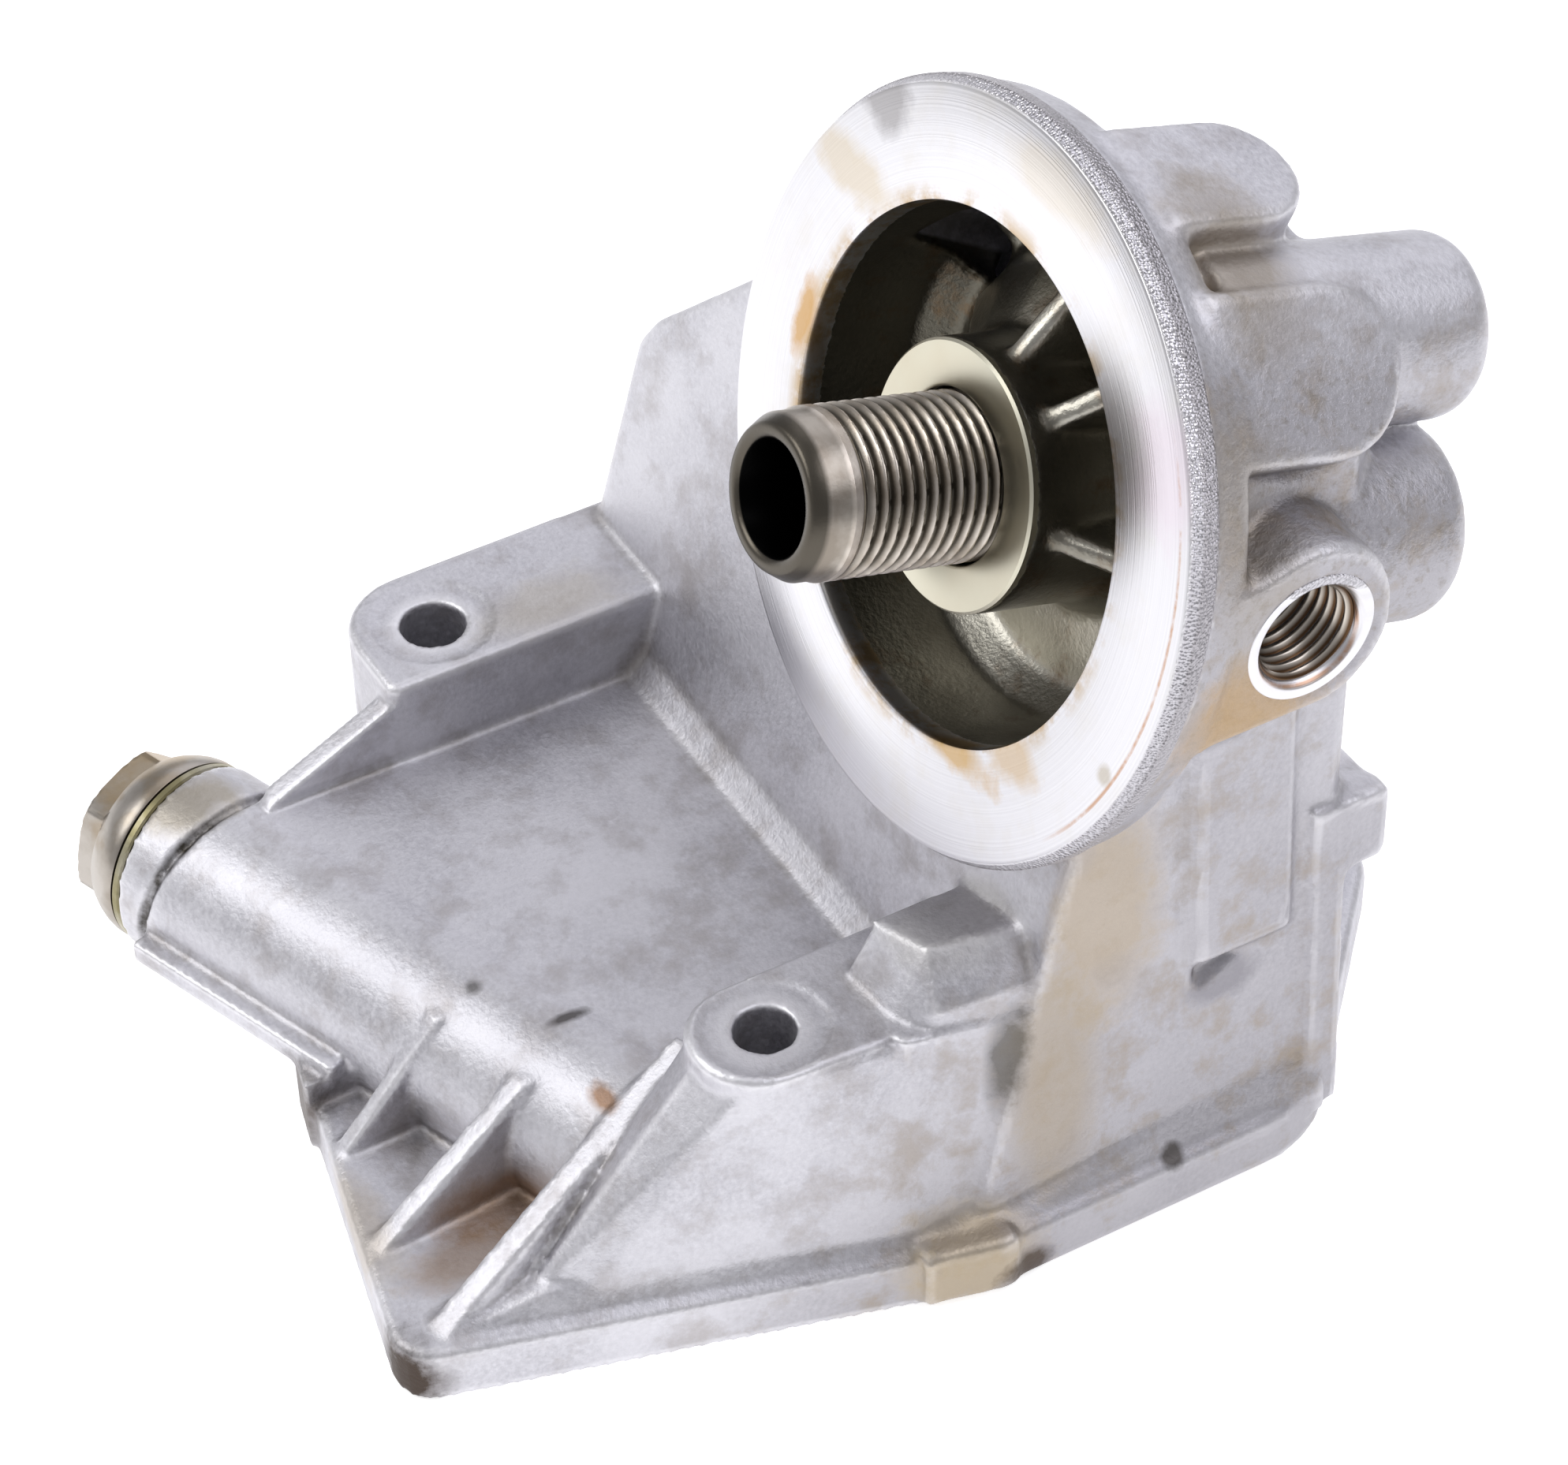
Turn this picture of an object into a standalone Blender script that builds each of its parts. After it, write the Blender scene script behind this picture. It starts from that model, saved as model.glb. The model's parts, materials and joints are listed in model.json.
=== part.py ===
"""Oil filter housing: one aluminium die casting with the filter head, its nipple and its relief valve.

Metres, +Z up. The gasket face of the flange lies on z = 0 and the filter axis leaves the
head towards -Y, tilted upwards. The threaded side port faces +X.
"""
import math

import bmesh
import bpy
from mathutils import Matrix, Vector

# Fits between neighbouring pieces
GAP = 0.0003
SINK = 0.001

# Filter head: the gasket ring, its bowl and the central boss
HEAD_TILT = math.radians(16)
HEAD_HEIGHT = 0.090
RING_RADIUS = 0.042
BOWL_RADIUS = 0.0297
BOWL_DEPTH = 0.018
DISC_THICKNESS = 0.008
HEAD_BODY_RADIUS = 0.0365
HEAD_BODY_DEPTH = 0.026
BOSS_RADIUS = 0.0151
BOSS_DROP = 0.0003

# Nipple, three quarter inch, sixteen threads to the inch
NIPPLE_RADIUS = 0.009525
NIPPLE_BORE = 0.00637
NIPPLE_TIP = 0.0228
NIPPLE_FOOT = 0.0155
NIPPLE_CHAMFER = 0.0011

# Flange and tray
FLANGE_HEIGHT = 0.0075
TRAY_FLOOR = 0.0244
ARM_TOP = 0.036
WALL = 0.0045

# Mounting bolts
BOLT_LEFT = Vector((-0.0644, -0.0334, 0))
BOLT_RIGHT = Vector((0.0153, -0.0326, 0))
BOLT_LEFT_HOLE = 0.00405
BOLT_RIGHT_HOLE = 0.0036
REAR_BOLTS = (Vector((-0.0660, 0.0490, 0)), Vector((-0.0040, 0.0505, 0)))
SPOT_RADIUS = 0.0076
SPOT_DEPTH = 0.0004

# Pylon between flange and head
PYLON_LEFT = -0.0727
PYLON_RIGHT = 0.031
PYLON_REAR = 0.036
PYLON_FRONT = DISC_THICKNESS + 0.0004

# Side port for a twelve millimetre sender
PORT_FACE = 0.041
PORT_Y = 0.0189
PORT_Z = 0.0903
PORT_BORE = 0.0052
PORT_DEPTH = 0.0100
PORT_DRILLING = 0.0018
PORT_BOSS_RADIUS = 0.0103

# Relief valve, lying in the front of the casting
VALVE_ANGLE = math.radians(20)
VALVE_START = Vector((-0.0643, -0.0673, 0.0124))
VALVE_RADIUS = 0.0124
VALVE_BORE = 0.008
VALVE_FACE = 0.0024
VALVE_END = -0.078
VALVE_SEAT = -0.046
SEAT_BORE = 0.0055
PLUG_FLATS = 0.017
PLUG_SHANK_END = -0.012
WASHER_THICKNESS = 0.0012
PISTON_LENGTH = 0.023
SPRING_WIRE = 0.0007
SPRING_RADIUS = 0.0044
SPRING_TURNS = 7

# Rear gallery bosses, in head coordinates
GALLERY_DEPTH = 0.044
GALLERY_BORE = 0.0062
GALLERY_FLOOR = 0.0235
UPPER_GALLERY = (0.0184, 0.0263, 0.0102)
LOWER_GALLERY = (0.0239, 0.0051, 0.0112)

HEAD = Matrix.Translation((0, 0, HEAD_HEIGHT)) @ Matrix.Rotation(math.pi / 2 - HEAD_TILT, 4, "X")
# The valve's own directions: x up, y towards the head, z out of the casting
VALVE = (
    Matrix.Translation(VALVE_START)
    @ Matrix.Rotation(VALVE_ANGLE, 4, "Z")
    @ Matrix.Rotation(-math.pi / 2, 4, "Y")
)

# Outline of the gasket face, seen from above, counter-clockwise: corner points and rounding radii
FLANGE_OUTLINE = (
    (0.0154, -0.0802, 0.0050),
    (0.0348, -0.0135, 0.0100),
    (0.0348, 0.0300, 0.0160),
    (0.0040, 0.0590, 0.0080),
    (-0.0735, 0.0570, 0.0080),
    (-0.0760, -0.0370, 0.0100),
    (-0.0560, -0.0500, 0.0060),
    (-0.0300, -0.0700, 0.0020),
)


def clear_scene():
    for item in list(bpy.data.objects):
        bpy.data.objects.remove(item)
    for group in list(bpy.data.collections):
        bpy.data.collections.remove(group)


def new_collection(name):
    group = bpy.data.collections.new(name)
    bpy.context.scene.collection.children.link(group)
    return group


def new_object(name, mesh_data, group, place=None):
    """Turns a bmesh into an object, with its points placed by the matrix."""
    if place is not None:
        bmesh.ops.transform(mesh_data, matrix=place, verts=mesh_data.verts)
    bmesh.ops.recalc_face_normals(mesh_data, faces=mesh_data.faces)
    mesh = bpy.data.meshes.new(name)
    mesh_data.to_mesh(mesh)
    mesh_data.free()
    item = bpy.data.objects.new(name, mesh)
    group.objects.link(item)
    return item


def rounded(outline, steps=4):
    """Points of an outline of (x, y, radius) corners, each corner an arc."""
    points = []
    count = len(outline)
    for index, (x, y, radius) in enumerate(outline):
        corner = Vector((x, y))
        before = (Vector(outline[index - 1][:2]) - corner).normalized()
        after = (Vector(outline[(index + 1) % count][:2]) - corner).normalized()
        half = before.angle(after) / 2
        centre = corner + (before + after).normalized() * radius / math.sin(half)
        start = corner + before * radius / math.tan(half) - centre
        turn = -(math.pi - 2 * half) * math.copysign(1, before.cross(after))
        for step in range(steps + 1):
            points.append(centre + Matrix.Rotation(turn * step / steps, 2) @ start)
    return points


def prism(name, outline, low, high, group, place=None, soft=0.0):
    """Extrudes an outline from low to high, with its upper rim rounded by soft."""
    mesh = bmesh.new()
    verts = [mesh.verts.new((point[0], point[1], low)) for point in outline]
    face = mesh.faces.new(verts)
    raised = bmesh.ops.extrude_face_region(mesh, geom=[face])["geom"]
    upper = [part for part in raised if isinstance(part, bmesh.types.BMVert)]
    bmesh.ops.translate(mesh, vec=(0, 0, high - low), verts=upper)
    if soft:
        rim = [part for part in raised if isinstance(part, bmesh.types.BMEdge)]
        bmesh.ops.bevel(mesh, geom=rim, offset=soft, segments=2, profile=0.5, affect="EDGES")
    return new_object(name, mesh, group, place)


def hull(name, points, group, place=None):
    """The convex solid around a few corner points."""
    mesh = bmesh.new()
    verts = [mesh.verts.new(point) for point in points]
    made = bmesh.ops.convex_hull(mesh, input=verts)
    spare = {part for part in made["geom_interior"] + made["geom_unused"]}
    bmesh.ops.delete(mesh, geom=[part for part in spare if isinstance(part, bmesh.types.BMVert)])
    bmesh.ops.dissolve_limit(mesh, angle_limit=0.01, verts=mesh.verts, edges=mesh.edges)
    return new_object(name, mesh, group, place)


def rod(name, start, end, radius, group, place=None, end_radius=None, sides=32):
    """A round bar or cone between two points."""
    start = Vector(start)
    axis = Vector(end) - start
    mesh = bmesh.new()
    bmesh.ops.create_cone(
        mesh,
        cap_ends=True,
        segments=sides,
        radius1=radius,
        radius2=radius if end_radius is None else end_radius,
        depth=axis.length,
    )
    turn = axis.to_track_quat("Z", "Y").to_matrix().to_4x4()
    middle = Matrix.Translation(start + axis / 2) @ turn @ Matrix.Rotation(0.07, 4, "Z")
    return new_object(name, mesh, group, middle if place is None else place @ middle)


def turned(name, profile, place, group, sides=48):
    """A solid of revolution: the profile of (radius, height) runs down the outer side.

    A profile that starts and ends on the axis stays open, any other closes on itself.
    """
    mesh = bmesh.new()
    verts = [mesh.verts.new((radius, 0, height)) for radius, height in profile]
    for start, end in zip(verts, verts[1:]):
        mesh.edges.new((start, end))
    if profile[0][0] or profile[-1][0]:
        mesh.edges.new((verts[-1], verts[0]))
    data = bpy.data.meshes.new(name)
    mesh.to_mesh(data)
    mesh.free()
    item = bpy.data.objects.new(name, data)
    item.matrix_world = place
    group.objects.link(item)
    screw = item.modifiers.new("turn", "SCREW")
    screw.steps = sides
    screw.render_steps = sides
    screw.use_merge_vertices = True
    screw.merge_threshold = 0.00001
    screw.use_smooth_shade = False
    return item


def trim(item, point, normal):
    """Cuts away what lies beyond a plane and closes the cut."""
    mesh = bmesh.new()
    mesh.from_mesh(item.data)
    parts = mesh.verts[:] + mesh.edges[:] + mesh.faces[:]
    cut = bmesh.ops.bisect_plane(
        mesh, geom=parts, plane_co=point, plane_no=normal, clear_outer=True, dist=1e-7
    )
    edges = [part for part in cut["geom_cut"] if isinstance(part, bmesh.types.BMEdge)]
    bmesh.ops.edgeloop_fill(mesh, edges=edges)
    bmesh.ops.recalc_face_normals(mesh, faces=mesh.faces)
    mesh.to_mesh(item.data)
    mesh.free()


def combine(item, name, operation, helpers):
    """Joins or cuts with all solids of a collection, which then stay out of renders."""
    boolean = item.modifiers.new(name, "BOOLEAN")
    boolean.operation = operation
    boolean.solver = "EXACT"
    boolean.operand_type = "COLLECTION"
    boolean.collection = helpers
    for helper in helpers.objects:
        helper.hide_render = True
        helper.display_type = "WIRE"


def circle(centre, radius, first=0.0, last=math.tau, steps=12):
    """Points of an arc around a centre."""
    return [
        (
            centre[0] + radius * math.cos(first + (last - first) * step / steps),
            centre[1] + radius * math.sin(first + (last - first) * step / steps),
        )
        for step in range(steps + 1)
    ]


def add_flange(adds):
    """The gasket flange with its two small cast lugs."""
    hull(
        "front_lug",
        [(x, y, z) for x, y in ((0.0275, -0.0215), (0.0285, -0.0118)) for z in (0.002, 0.0092)]
        + [(x, y, z) for x, y in ((0.0338, -0.0210), (0.0358, -0.0112)) for z in (0.0005, 0.0084)],
        adds,
    )
    hull(
        "rear_lug",
        [(x, y, z) for x in (0.020, 0.0300) for y in (0.030, 0.0405) for z in (0.0375, 0.0475)],
        adds,
    )


def add_tray(adds):
    """The tray between the two bolt arms, and the thin web that closes its left side."""
    prism(
        "tray",
        [(-0.0583, -0.0650), (0.0120, -0.0396), (0.0120, 0.0050), (-0.0583, 0.0050)],
        0.002,
        TRAY_FLOOR,
        adds,
    )
    hull(
        "tray_web",
        [
            (x, y, z)
            for x in (-0.0587, -0.0555)
            for y, z in ((-0.040, 0.0352), (-0.0605, 0.0252), (-0.040, 0.003), (-0.0605, 0.003))
        ],
        adds,
    )
    left_arm = (
        (-0.0746, 0.0100, 0.001),
        (-0.0744, -0.0436, 0.0096),
        (-0.0553, -0.0436, 0.0016),
        (-0.0553, 0.0100, 0.001),
    )
    prism("left_arm", rounded(left_arm, 6), 0.0025, ARM_TOP, adds, soft=0.0006)
    right_arm = (
        (0.0074, 0.0100, 0.001),
        (0.0074, -0.0417, 0.0075),
        (0.0228, -0.0417, 0.0078),
        (0.0241, -0.0240, 0.002),
        (0.0241, 0.0100, 0.001),
    )
    prism("right_arm", rounded(right_arm, 6), 0.0027, ARM_TOP, adds, soft=0.0006)


def add_skirt(adds):
    """The wall below the right arm, the shoulder beside it and the three gusset ribs."""
    upper = [(0.009, -0.037), (0.0150, -0.0412), (0.0215, -0.0385), (0.0240, -0.0300), (0.0245, -0.010)]
    lower = [(0.0100, -0.0600), (0.0145, -0.0660), (0.0185, -0.0600), (0.0300, -0.0200), (0.0306, -0.010)]
    hull(
        "skirt",
        [(x, y, 0.030) for x, y in upper] + [(x, y, 0.0052) for x, y in lower] + [(0.009, -0.037, 0.005)],
        adds,
    )
    hull(
        "shoulder",
        [
            (0.0130, -0.0216, 0.030),
            (0.0130, -0.0192, 0.0420),
            (0.0245, -0.0216, 0.030),
            (0.0252, -0.0202, 0.0515),
            (0.0285, -0.0065, 0.0518),
            (0.0285, 0.0040, 0.0518),
            (0.0130, 0.0040, 0.0420),
            (0.0130, 0.0040, 0.030),
            (0.0298, -0.0065, 0.006),
            (0.0298, 0.0040, 0.006),
            (0.0265, -0.0216, 0.006),
            (0.0130, -0.0216, 0.006),
        ],
        adds,
    )
    gussets = (
        ((-0.0172, -0.0560, 0.0215), (-0.0165, -0.0722, 0.0072), 0.0011),
        ((-0.0035, -0.0520, 0.0200), (-0.0010, -0.0755, 0.0072), 0.0011),
        ((0.0066, -0.0380, 0.0290), (0.0138, -0.0755, 0.0070), 0.0013),
    )
    for number, (top, foot, half) in enumerate(gussets, 1):
        top = Vector(top)
        foot = Vector(foot)
        side = (foot - top).cross(Vector((0, 0, 1))).normalized() * half
        back = Vector((top.x, top.y + 0.004, 0.006))
        corners = [point + side * sign for point in (top, foot) for sign in (1, -1)]
        corners += [
            Vector((point.x, point.y, 0.0045)) + side * sign
            for point in (back, foot)
            for sign in (1.4, -1.4)
        ]
        hull(f"gusset_{number}", corners, adds)


def add_pylon(adds):
    """The upright body that carries the head, with the raised panel on its right side."""
    outline = [
        (PYLON_LEFT, -0.100),
        (PYLON_RIGHT, -0.100),
        (PYLON_RIGHT, 0.020),
        (0.0220, 0.0310),
        (0.0060, 0.0360),
        (-0.0090, 0.0350),
        (-0.0703, -0.0244),
        (PYLON_LEFT, -0.0285),
    ]
    pylon = prism("pylon", outline, -0.075, -PYLON_FRONT, adds, HEAD, soft=0.0012)
    trim(pylon, (0, PYLON_REAR, 0), (0, 1, 0))
    trim(pylon, (0, 0, 0.003), (0, 0, -1))
    trim(pylon, (PYLON_RIGHT, PYLON_REAR - 0.005, 0), (1, 1, 0))
    hull(
        "side_panel",
        [
            (x, y, z)
            for x, margin in ((0.0290, 0.0), (0.0326, 0.0008))
            for y in (0.0135 + margin, 0.0280 - margin)
            for z in (0.0335 + margin, 0.0850)
        ],
        adds,
    )


def add_head(adds):
    """The round head with its stepped rim and the bosses behind it."""
    profile = [
        (0.0, 0.0),
        (RING_RADIUS - 0.0007, 0.0),
        (RING_RADIUS, -0.0007),
        (RING_RADIUS, -0.0030),
        (RING_RADIUS - 0.0007, -0.0036),
        (RING_RADIUS - 0.0007, -DISC_THICKNESS),
        (HEAD_BODY_RADIUS, -DISC_THICKNESS - 0.0020),
        (HEAD_BODY_RADIUS - 0.0025, -HEAD_BODY_DEPTH),
        (0.0, -HEAD_BODY_DEPTH),
    ]
    turned("head_disc", profile, HEAD, adds, sides=96)
    add_pad("upper_pad", adds, math.radians(78), 0.0427, 0.0003, 0.0076, 0.0186)
    add_pad("side_pad", adds, math.radians(39), 0.0413, 0.0045, 0.0093, 0.0209)
    for name, (across, up, radius) in (("upper", UPPER_GALLERY), ("lower", LOWER_GALLERY)):
        profile = [
            (0.0, -0.010),
            (radius, -0.010),
            (radius, 0.0020 - GALLERY_DEPTH),
            (radius - 0.0006, 0.0006 - GALLERY_DEPTH),
            (radius - 0.0020, -GALLERY_DEPTH),
            (0.0, -GALLERY_DEPTH),
        ]
        turned(f"{name}_gallery", profile, HEAD @ Matrix.Translation((across, up, 0)), adds)


def add_pad(name, adds, angle, reach, offset, half_width, depth):
    """A flat-topped pad on the rim of the head, round at its rear end."""
    along = Matrix.Rotation(angle, 4, "Z") @ Matrix.Rotation(math.pi / 2, 4, "Y")
    outline = [(0.0060, offset + half_width), (0.0060, offset - half_width)]
    outline += circle((depth, offset), half_width, -math.pi / 2, math.pi / 2, 10)
    prism(name, outline, 0.024, reach, adds, HEAD @ along, soft=0.0006)


def add_port(adds):
    """The threaded side port on its web."""
    centre = (PORT_Y, PORT_Z)
    outline = circle(centre, PORT_BOSS_RADIUS, math.radians(-78), math.radians(112), 16)
    outline += [(0.0095, 0.0985), (0.0060, 0.0790)]
    place = Matrix.Rotation(math.pi / 2, 4, "Z") @ Matrix.Rotation(math.pi / 2, 4, "X")
    prism("port_boss", outline, 0.024, PORT_FACE, adds, place, soft=0.0005)


def add_valve_body(adds):
    """The barrel of the relief valve with its collar, groove and outer rail."""
    profile = [
        (0.0, VALVE_FACE),
        (VALVE_RADIUS - 0.0004, VALVE_FACE),
        (VALVE_RADIUS, VALVE_FACE - 0.0004),
        (VALVE_RADIUS, -0.0021),
        (VALVE_RADIUS - 0.0010, -0.0023),
        (VALVE_RADIUS - 0.0010, -0.0035),
        (VALVE_RADIUS, -0.0038),
        (VALVE_RADIUS, VALVE_END),
        (0.0, VALVE_END),
    ]
    turned("valve_barrel", profile, VALVE, adds, sides=64)
    hull(
        "valve_rail",
        [
            (up, -out, -along)
            for up, out in ((0.0002, 0.0105), (0.0002, 0.0152), (-0.0026, 0.0152), (-0.0060, 0.0105))
            for along in (0.0040, 0.0372)
        ],
        adds,
        VALVE,
    )
    hull(
        "rail_foot",
        [
            (x, y, z)
            for x, y in ((-0.0310, -0.0705), (-0.0245, -0.0722), (-0.0245, -0.0600), (-0.0330, -0.0600))
            for z in (0.001, 0.0112)
        ],
        adds,
    )


def add_rear_ears(adds):
    """Bolt ears on the rear of the flange."""
    for number, bolt in enumerate(REAR_BOLTS, 1):
        rod(f"ear_{number}", bolt + Vector((0, 0, 0.001)), bolt + Vector((0, 0, 0.014)), 0.0085, adds)


def cut_head(cuts):
    """The filter bowl, the nipple's hole and the outlet behind it."""
    profile = [
        (0.0, 0.002),
        (BOWL_RADIUS, 0.002),
        (BOWL_RADIUS - 0.0006, -BOWL_DEPTH + 0.004),
        (BOWL_RADIUS - 0.0040, -BOWL_DEPTH),
        (BOSS_RADIUS + 0.0020, -BOWL_DEPTH),
        (BOSS_RADIUS, -BOWL_DEPTH + 0.004),
        (BOSS_RADIUS, -BOSS_DROP),
        (0.0, -BOSS_DROP),
    ]
    bowl = turned("bowl", profile, HEAD @ Matrix.Rotation(math.pi / 96, 4, "Z"), cuts, sides=96)
    ribs = new_collection("bowl_ribs")
    add_bowl_ribs(ribs)
    combine(bowl, "ribs", "DIFFERENCE", ribs)
    hole = NIPPLE_RADIUS + GAP
    profile = [
        (0.0, 0.001),
        (hole + 0.0003, 0.001),
        (hole + 0.0003, -0.0016),
        (hole, -0.0019),
        (hole, -NIPPLE_FOOT - GAP),
        (0.0068, -NIPPLE_FOOT - GAP),
        (0.0068, -0.0275),
        (0.0, -0.0275),
    ]
    turned("nipple_hole", profile, HEAD @ Matrix.Rotation(0.03, 4, "Z"), cuts)
    rod("outlet_drop", (0, 0.024, -0.002), (0, 0.024, 0.0845), 0.0069, cuts)
    rod("inlet_window", (-0.0215, 0.0150, -0.0120), (-0.0330, -0.0140, -0.0270), 0.0056, cuts, HEAD)


def cut_pads_and_port(cuts):
    """The side port's thread hole, its chamfer and spot face, and the gallery behind it."""
    profile = [
        (0.0, 0.001),
        (0.0083, 0.001),
        (0.0083, -0.0003),
        (0.0066, -0.0003),
        (PORT_BORE, -0.0017),
        (PORT_BORE, -PORT_DEPTH),
        (PORT_DRILLING, -PORT_DEPTH - 0.0015),
        (PORT_DRILLING, -0.0170),
        (0.0, -0.0170),
    ]
    place = Matrix.Translation((PORT_FACE, PORT_Y, PORT_Z)) @ Matrix.Rotation(math.pi / 2, 4, "Y")
    turned("port_hole", profile, place @ Matrix.Rotation(0.03, 4, "Z"), cuts)
    for name, (across, up, _) in (("upper", UPPER_GALLERY), ("lower", LOWER_GALLERY)):
        start = (across, up, -GALLERY_DEPTH - 0.001)
        rod(f"{name}_bore", start, (across, up, -GALLERY_FLOOR), GALLERY_BORE, cuts, HEAD)
    rod(
        "gallery_link",
        (UPPER_GALLERY[0], UPPER_GALLERY[1], -GALLERY_FLOOR - 0.0050),
        (LOWER_GALLERY[0], LOWER_GALLERY[1], -GALLERY_FLOOR - 0.0050),
        0.0032,
        cuts,
        HEAD,
    )


def cut_bolts(cuts):
    """The bolt holes with their machined seats."""
    holes = [(BOLT_LEFT, BOLT_LEFT_HOLE, ARM_TOP), (BOLT_RIGHT, BOLT_RIGHT_HOLE, ARM_TOP)]
    holes += [(bolt, BOLT_LEFT_HOLE, 0.014) for bolt in REAR_BOLTS]
    for number, (place, radius, top) in enumerate(holes, 1):
        rod(f"bolt_hole_{number}", place - Vector((0, 0, 0.002)), place + Vector((0, 0, 0.040)), radius, cuts)
        seat = place + Vector((0, 0, top - SPOT_DEPTH))
        rod(f"bolt_seat_{number}", seat, seat + Vector((0, 0, 0.010)), SPOT_RADIUS, cuts)


def cut_valve(cuts):
    """The valve's bore, its seat, its inlet from the base chamber and its discharge hole."""
    rod("valve_bore", (0, 0, VALVE_FACE + 0.002), (0, 0, VALVE_SEAT), VALVE_BORE, cuts, VALVE, sides=48)
    rod("valve_nose", (0, 0, VALVE_SEAT + 0.001), (0, 0, -0.064), SEAT_BORE, cuts, VALVE)
    nose = VALVE @ Vector((0, 0, -0.0590))
    rod("valve_inlet", nose, nose + Vector((0, 0.024, 0)), 0.0045, cuts)
    spill = VALVE @ Vector((0, 0, -0.0415))
    rod("valve_spill", spill, spill - Vector((0, 0, 0.016)), 0.0032, cuts)


def cut_chambers(cuts):
    """The cored chambers that open in the gasket face."""
    chambers = (
        ("tray_chamber", ((-0.0515, -0.0470), (0.0030, -0.0270), (0.0030, -0.0140), (-0.0515, -0.0140)),
         ((-0.0500, -0.0445), (0.0020, -0.0265), (0.0020, -0.0145), (-0.0500, -0.0145)), 0.0195),
        ("inlet_chamber", ((-0.0665, -0.0120), (-0.0110, -0.0120), (-0.0110, 0.0310), (-0.0665, 0.0310)),
         ((-0.0640, 0.0060), (-0.0120, 0.0060), (-0.0120, 0.0300), (-0.0640, 0.0300)), 0.0620),
        ("side_chamber", ((0.0110, -0.0110), (0.0260, -0.0110), (0.0260, 0.0270), (0.0110, 0.0270)),
         ((0.0120, 0.0060), (0.0250, 0.0060), (0.0250, 0.0260), (0.0120, 0.0260)), 0.0600),
    )
    for name, low, high, top in chambers:
        hull(name, [(x, y, -0.002) for x, y in low] + [(x, y, top) for x, y in high], cuts)
    hull(
        "chamber_gate",
        [(x, y, z) for x in (-0.045, -0.020) for y in (-0.020, -0.005) for z in (-0.002, 0.016)],
        cuts,
    )


def add_bowl_ribs(ribs):
    """Cast ribs that brace the central boss inside the bowl."""
    for number, angle in enumerate((35, 8, -28, -82), 1):
        turn = HEAD @ Matrix.Rotation(math.radians(angle), 4, "Z")
        hull(
            f"bowl_rib_{number}",
            [
                (BOSS_RADIUS - SINK, side * 0.0012, -0.0035)
                for side in (-1, 1)
            ]
            + [(BOWL_RADIUS + SINK, side * 0.0012, -0.0100) for side in (-1, 1)]
            + [(radius, side * 0.0020, -BOWL_DEPTH - 0.0005)
               for radius in (BOSS_RADIUS - SINK, BOWL_RADIUS + SINK) for side in (-1, 1)],
            ribs,
            turn,
        )


def make_casting(group):
    """The one-piece housing: solids joined, then cored and drilled."""
    adds = new_collection("casting_solids")
    cuts = new_collection("casting_cutters")
    casting = prism("housing_casting", rounded(FLANGE_OUTLINE), 0.0, FLANGE_HEIGHT, group, soft=0.0010)
    for build in (add_flange, add_tray, add_skirt, add_pylon, add_head, add_port, add_valve_body,
                  add_rear_ears):
        build(adds)
    for build in (cut_head, cut_pads_and_port, cut_bolts, cut_valve, cut_chambers):
        build(cuts)
    combine(casting, "join", "UNION", adds)
    combine(casting, "core", "DIFFERENCE", cuts)
    return casting


def make_nipple(group):
    """The hollow steel nipple that takes the filter."""
    profile = [
        (NIPPLE_BORE + 0.0004, NIPPLE_TIP),
        (NIPPLE_RADIUS - NIPPLE_CHAMFER, NIPPLE_TIP),
        (NIPPLE_RADIUS - 0.0002, NIPPLE_TIP - 0.0022),
        (NIPPLE_RADIUS - 0.0002, -NIPPLE_FOOT + 0.0008),
        (NIPPLE_RADIUS - 0.0010, -NIPPLE_FOOT),
        (NIPPLE_BORE, -NIPPLE_FOOT),
        (NIPPLE_BORE, NIPPLE_TIP - 0.0006),
    ]
    return turned("filter_nipple", profile, HEAD, group, sides=64)


def make_plug(group):
    """The hexagon plug of the relief valve, hollow to guide the spring."""
    seat = VALVE_FACE + WASHER_THICKNESS + 2 * GAP
    flat = PLUG_FLATS / 2
    shank = VALVE_BORE - GAP
    helpers = new_collection("plug_solids")
    cutters = new_collection("plug_cutters")
    body = [
        (0.0, seat + 0.0050),
        (0.0088, seat + 0.0050),
        (0.0118, seat + 0.0016),
        (0.0121, seat + 0.0012),
        (0.0121, seat),
        (shank, seat),
        (shank, PLUG_SHANK_END + 0.0008),
        (shank - 0.0008, PLUG_SHANK_END),
        (0.0, PLUG_SHANK_END),
    ]
    turned("plug_body", body, VALVE, helpers)
    corner = math.radians(14)
    hexagon = circle((0, 0), flat / math.cos(math.pi / 6), corner, corner + math.tau, 6)[:6]
    plug = prism("valve_plug", hexagon, 0.0060, 0.0142, group, VALVE)
    crown = [
        (flat - 0.0003, 0.0150),
        (flat - 0.0003, 0.0143),
        (flat + 0.0022, 0.0116),
        (0.0190, 0.0100),
        (0.0190, 0.0150),
    ]
    turned("plug_crown", crown[::-1], VALVE, cutters)
    rod("plug_bore", (0, 0, PLUG_SHANK_END - 0.001), (0, 0, 0.0060), 0.0056, cutters, VALVE)
    combine(plug, "body", "UNION", helpers)
    combine(plug, "bore", "DIFFERENCE", cutters)
    return plug


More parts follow.
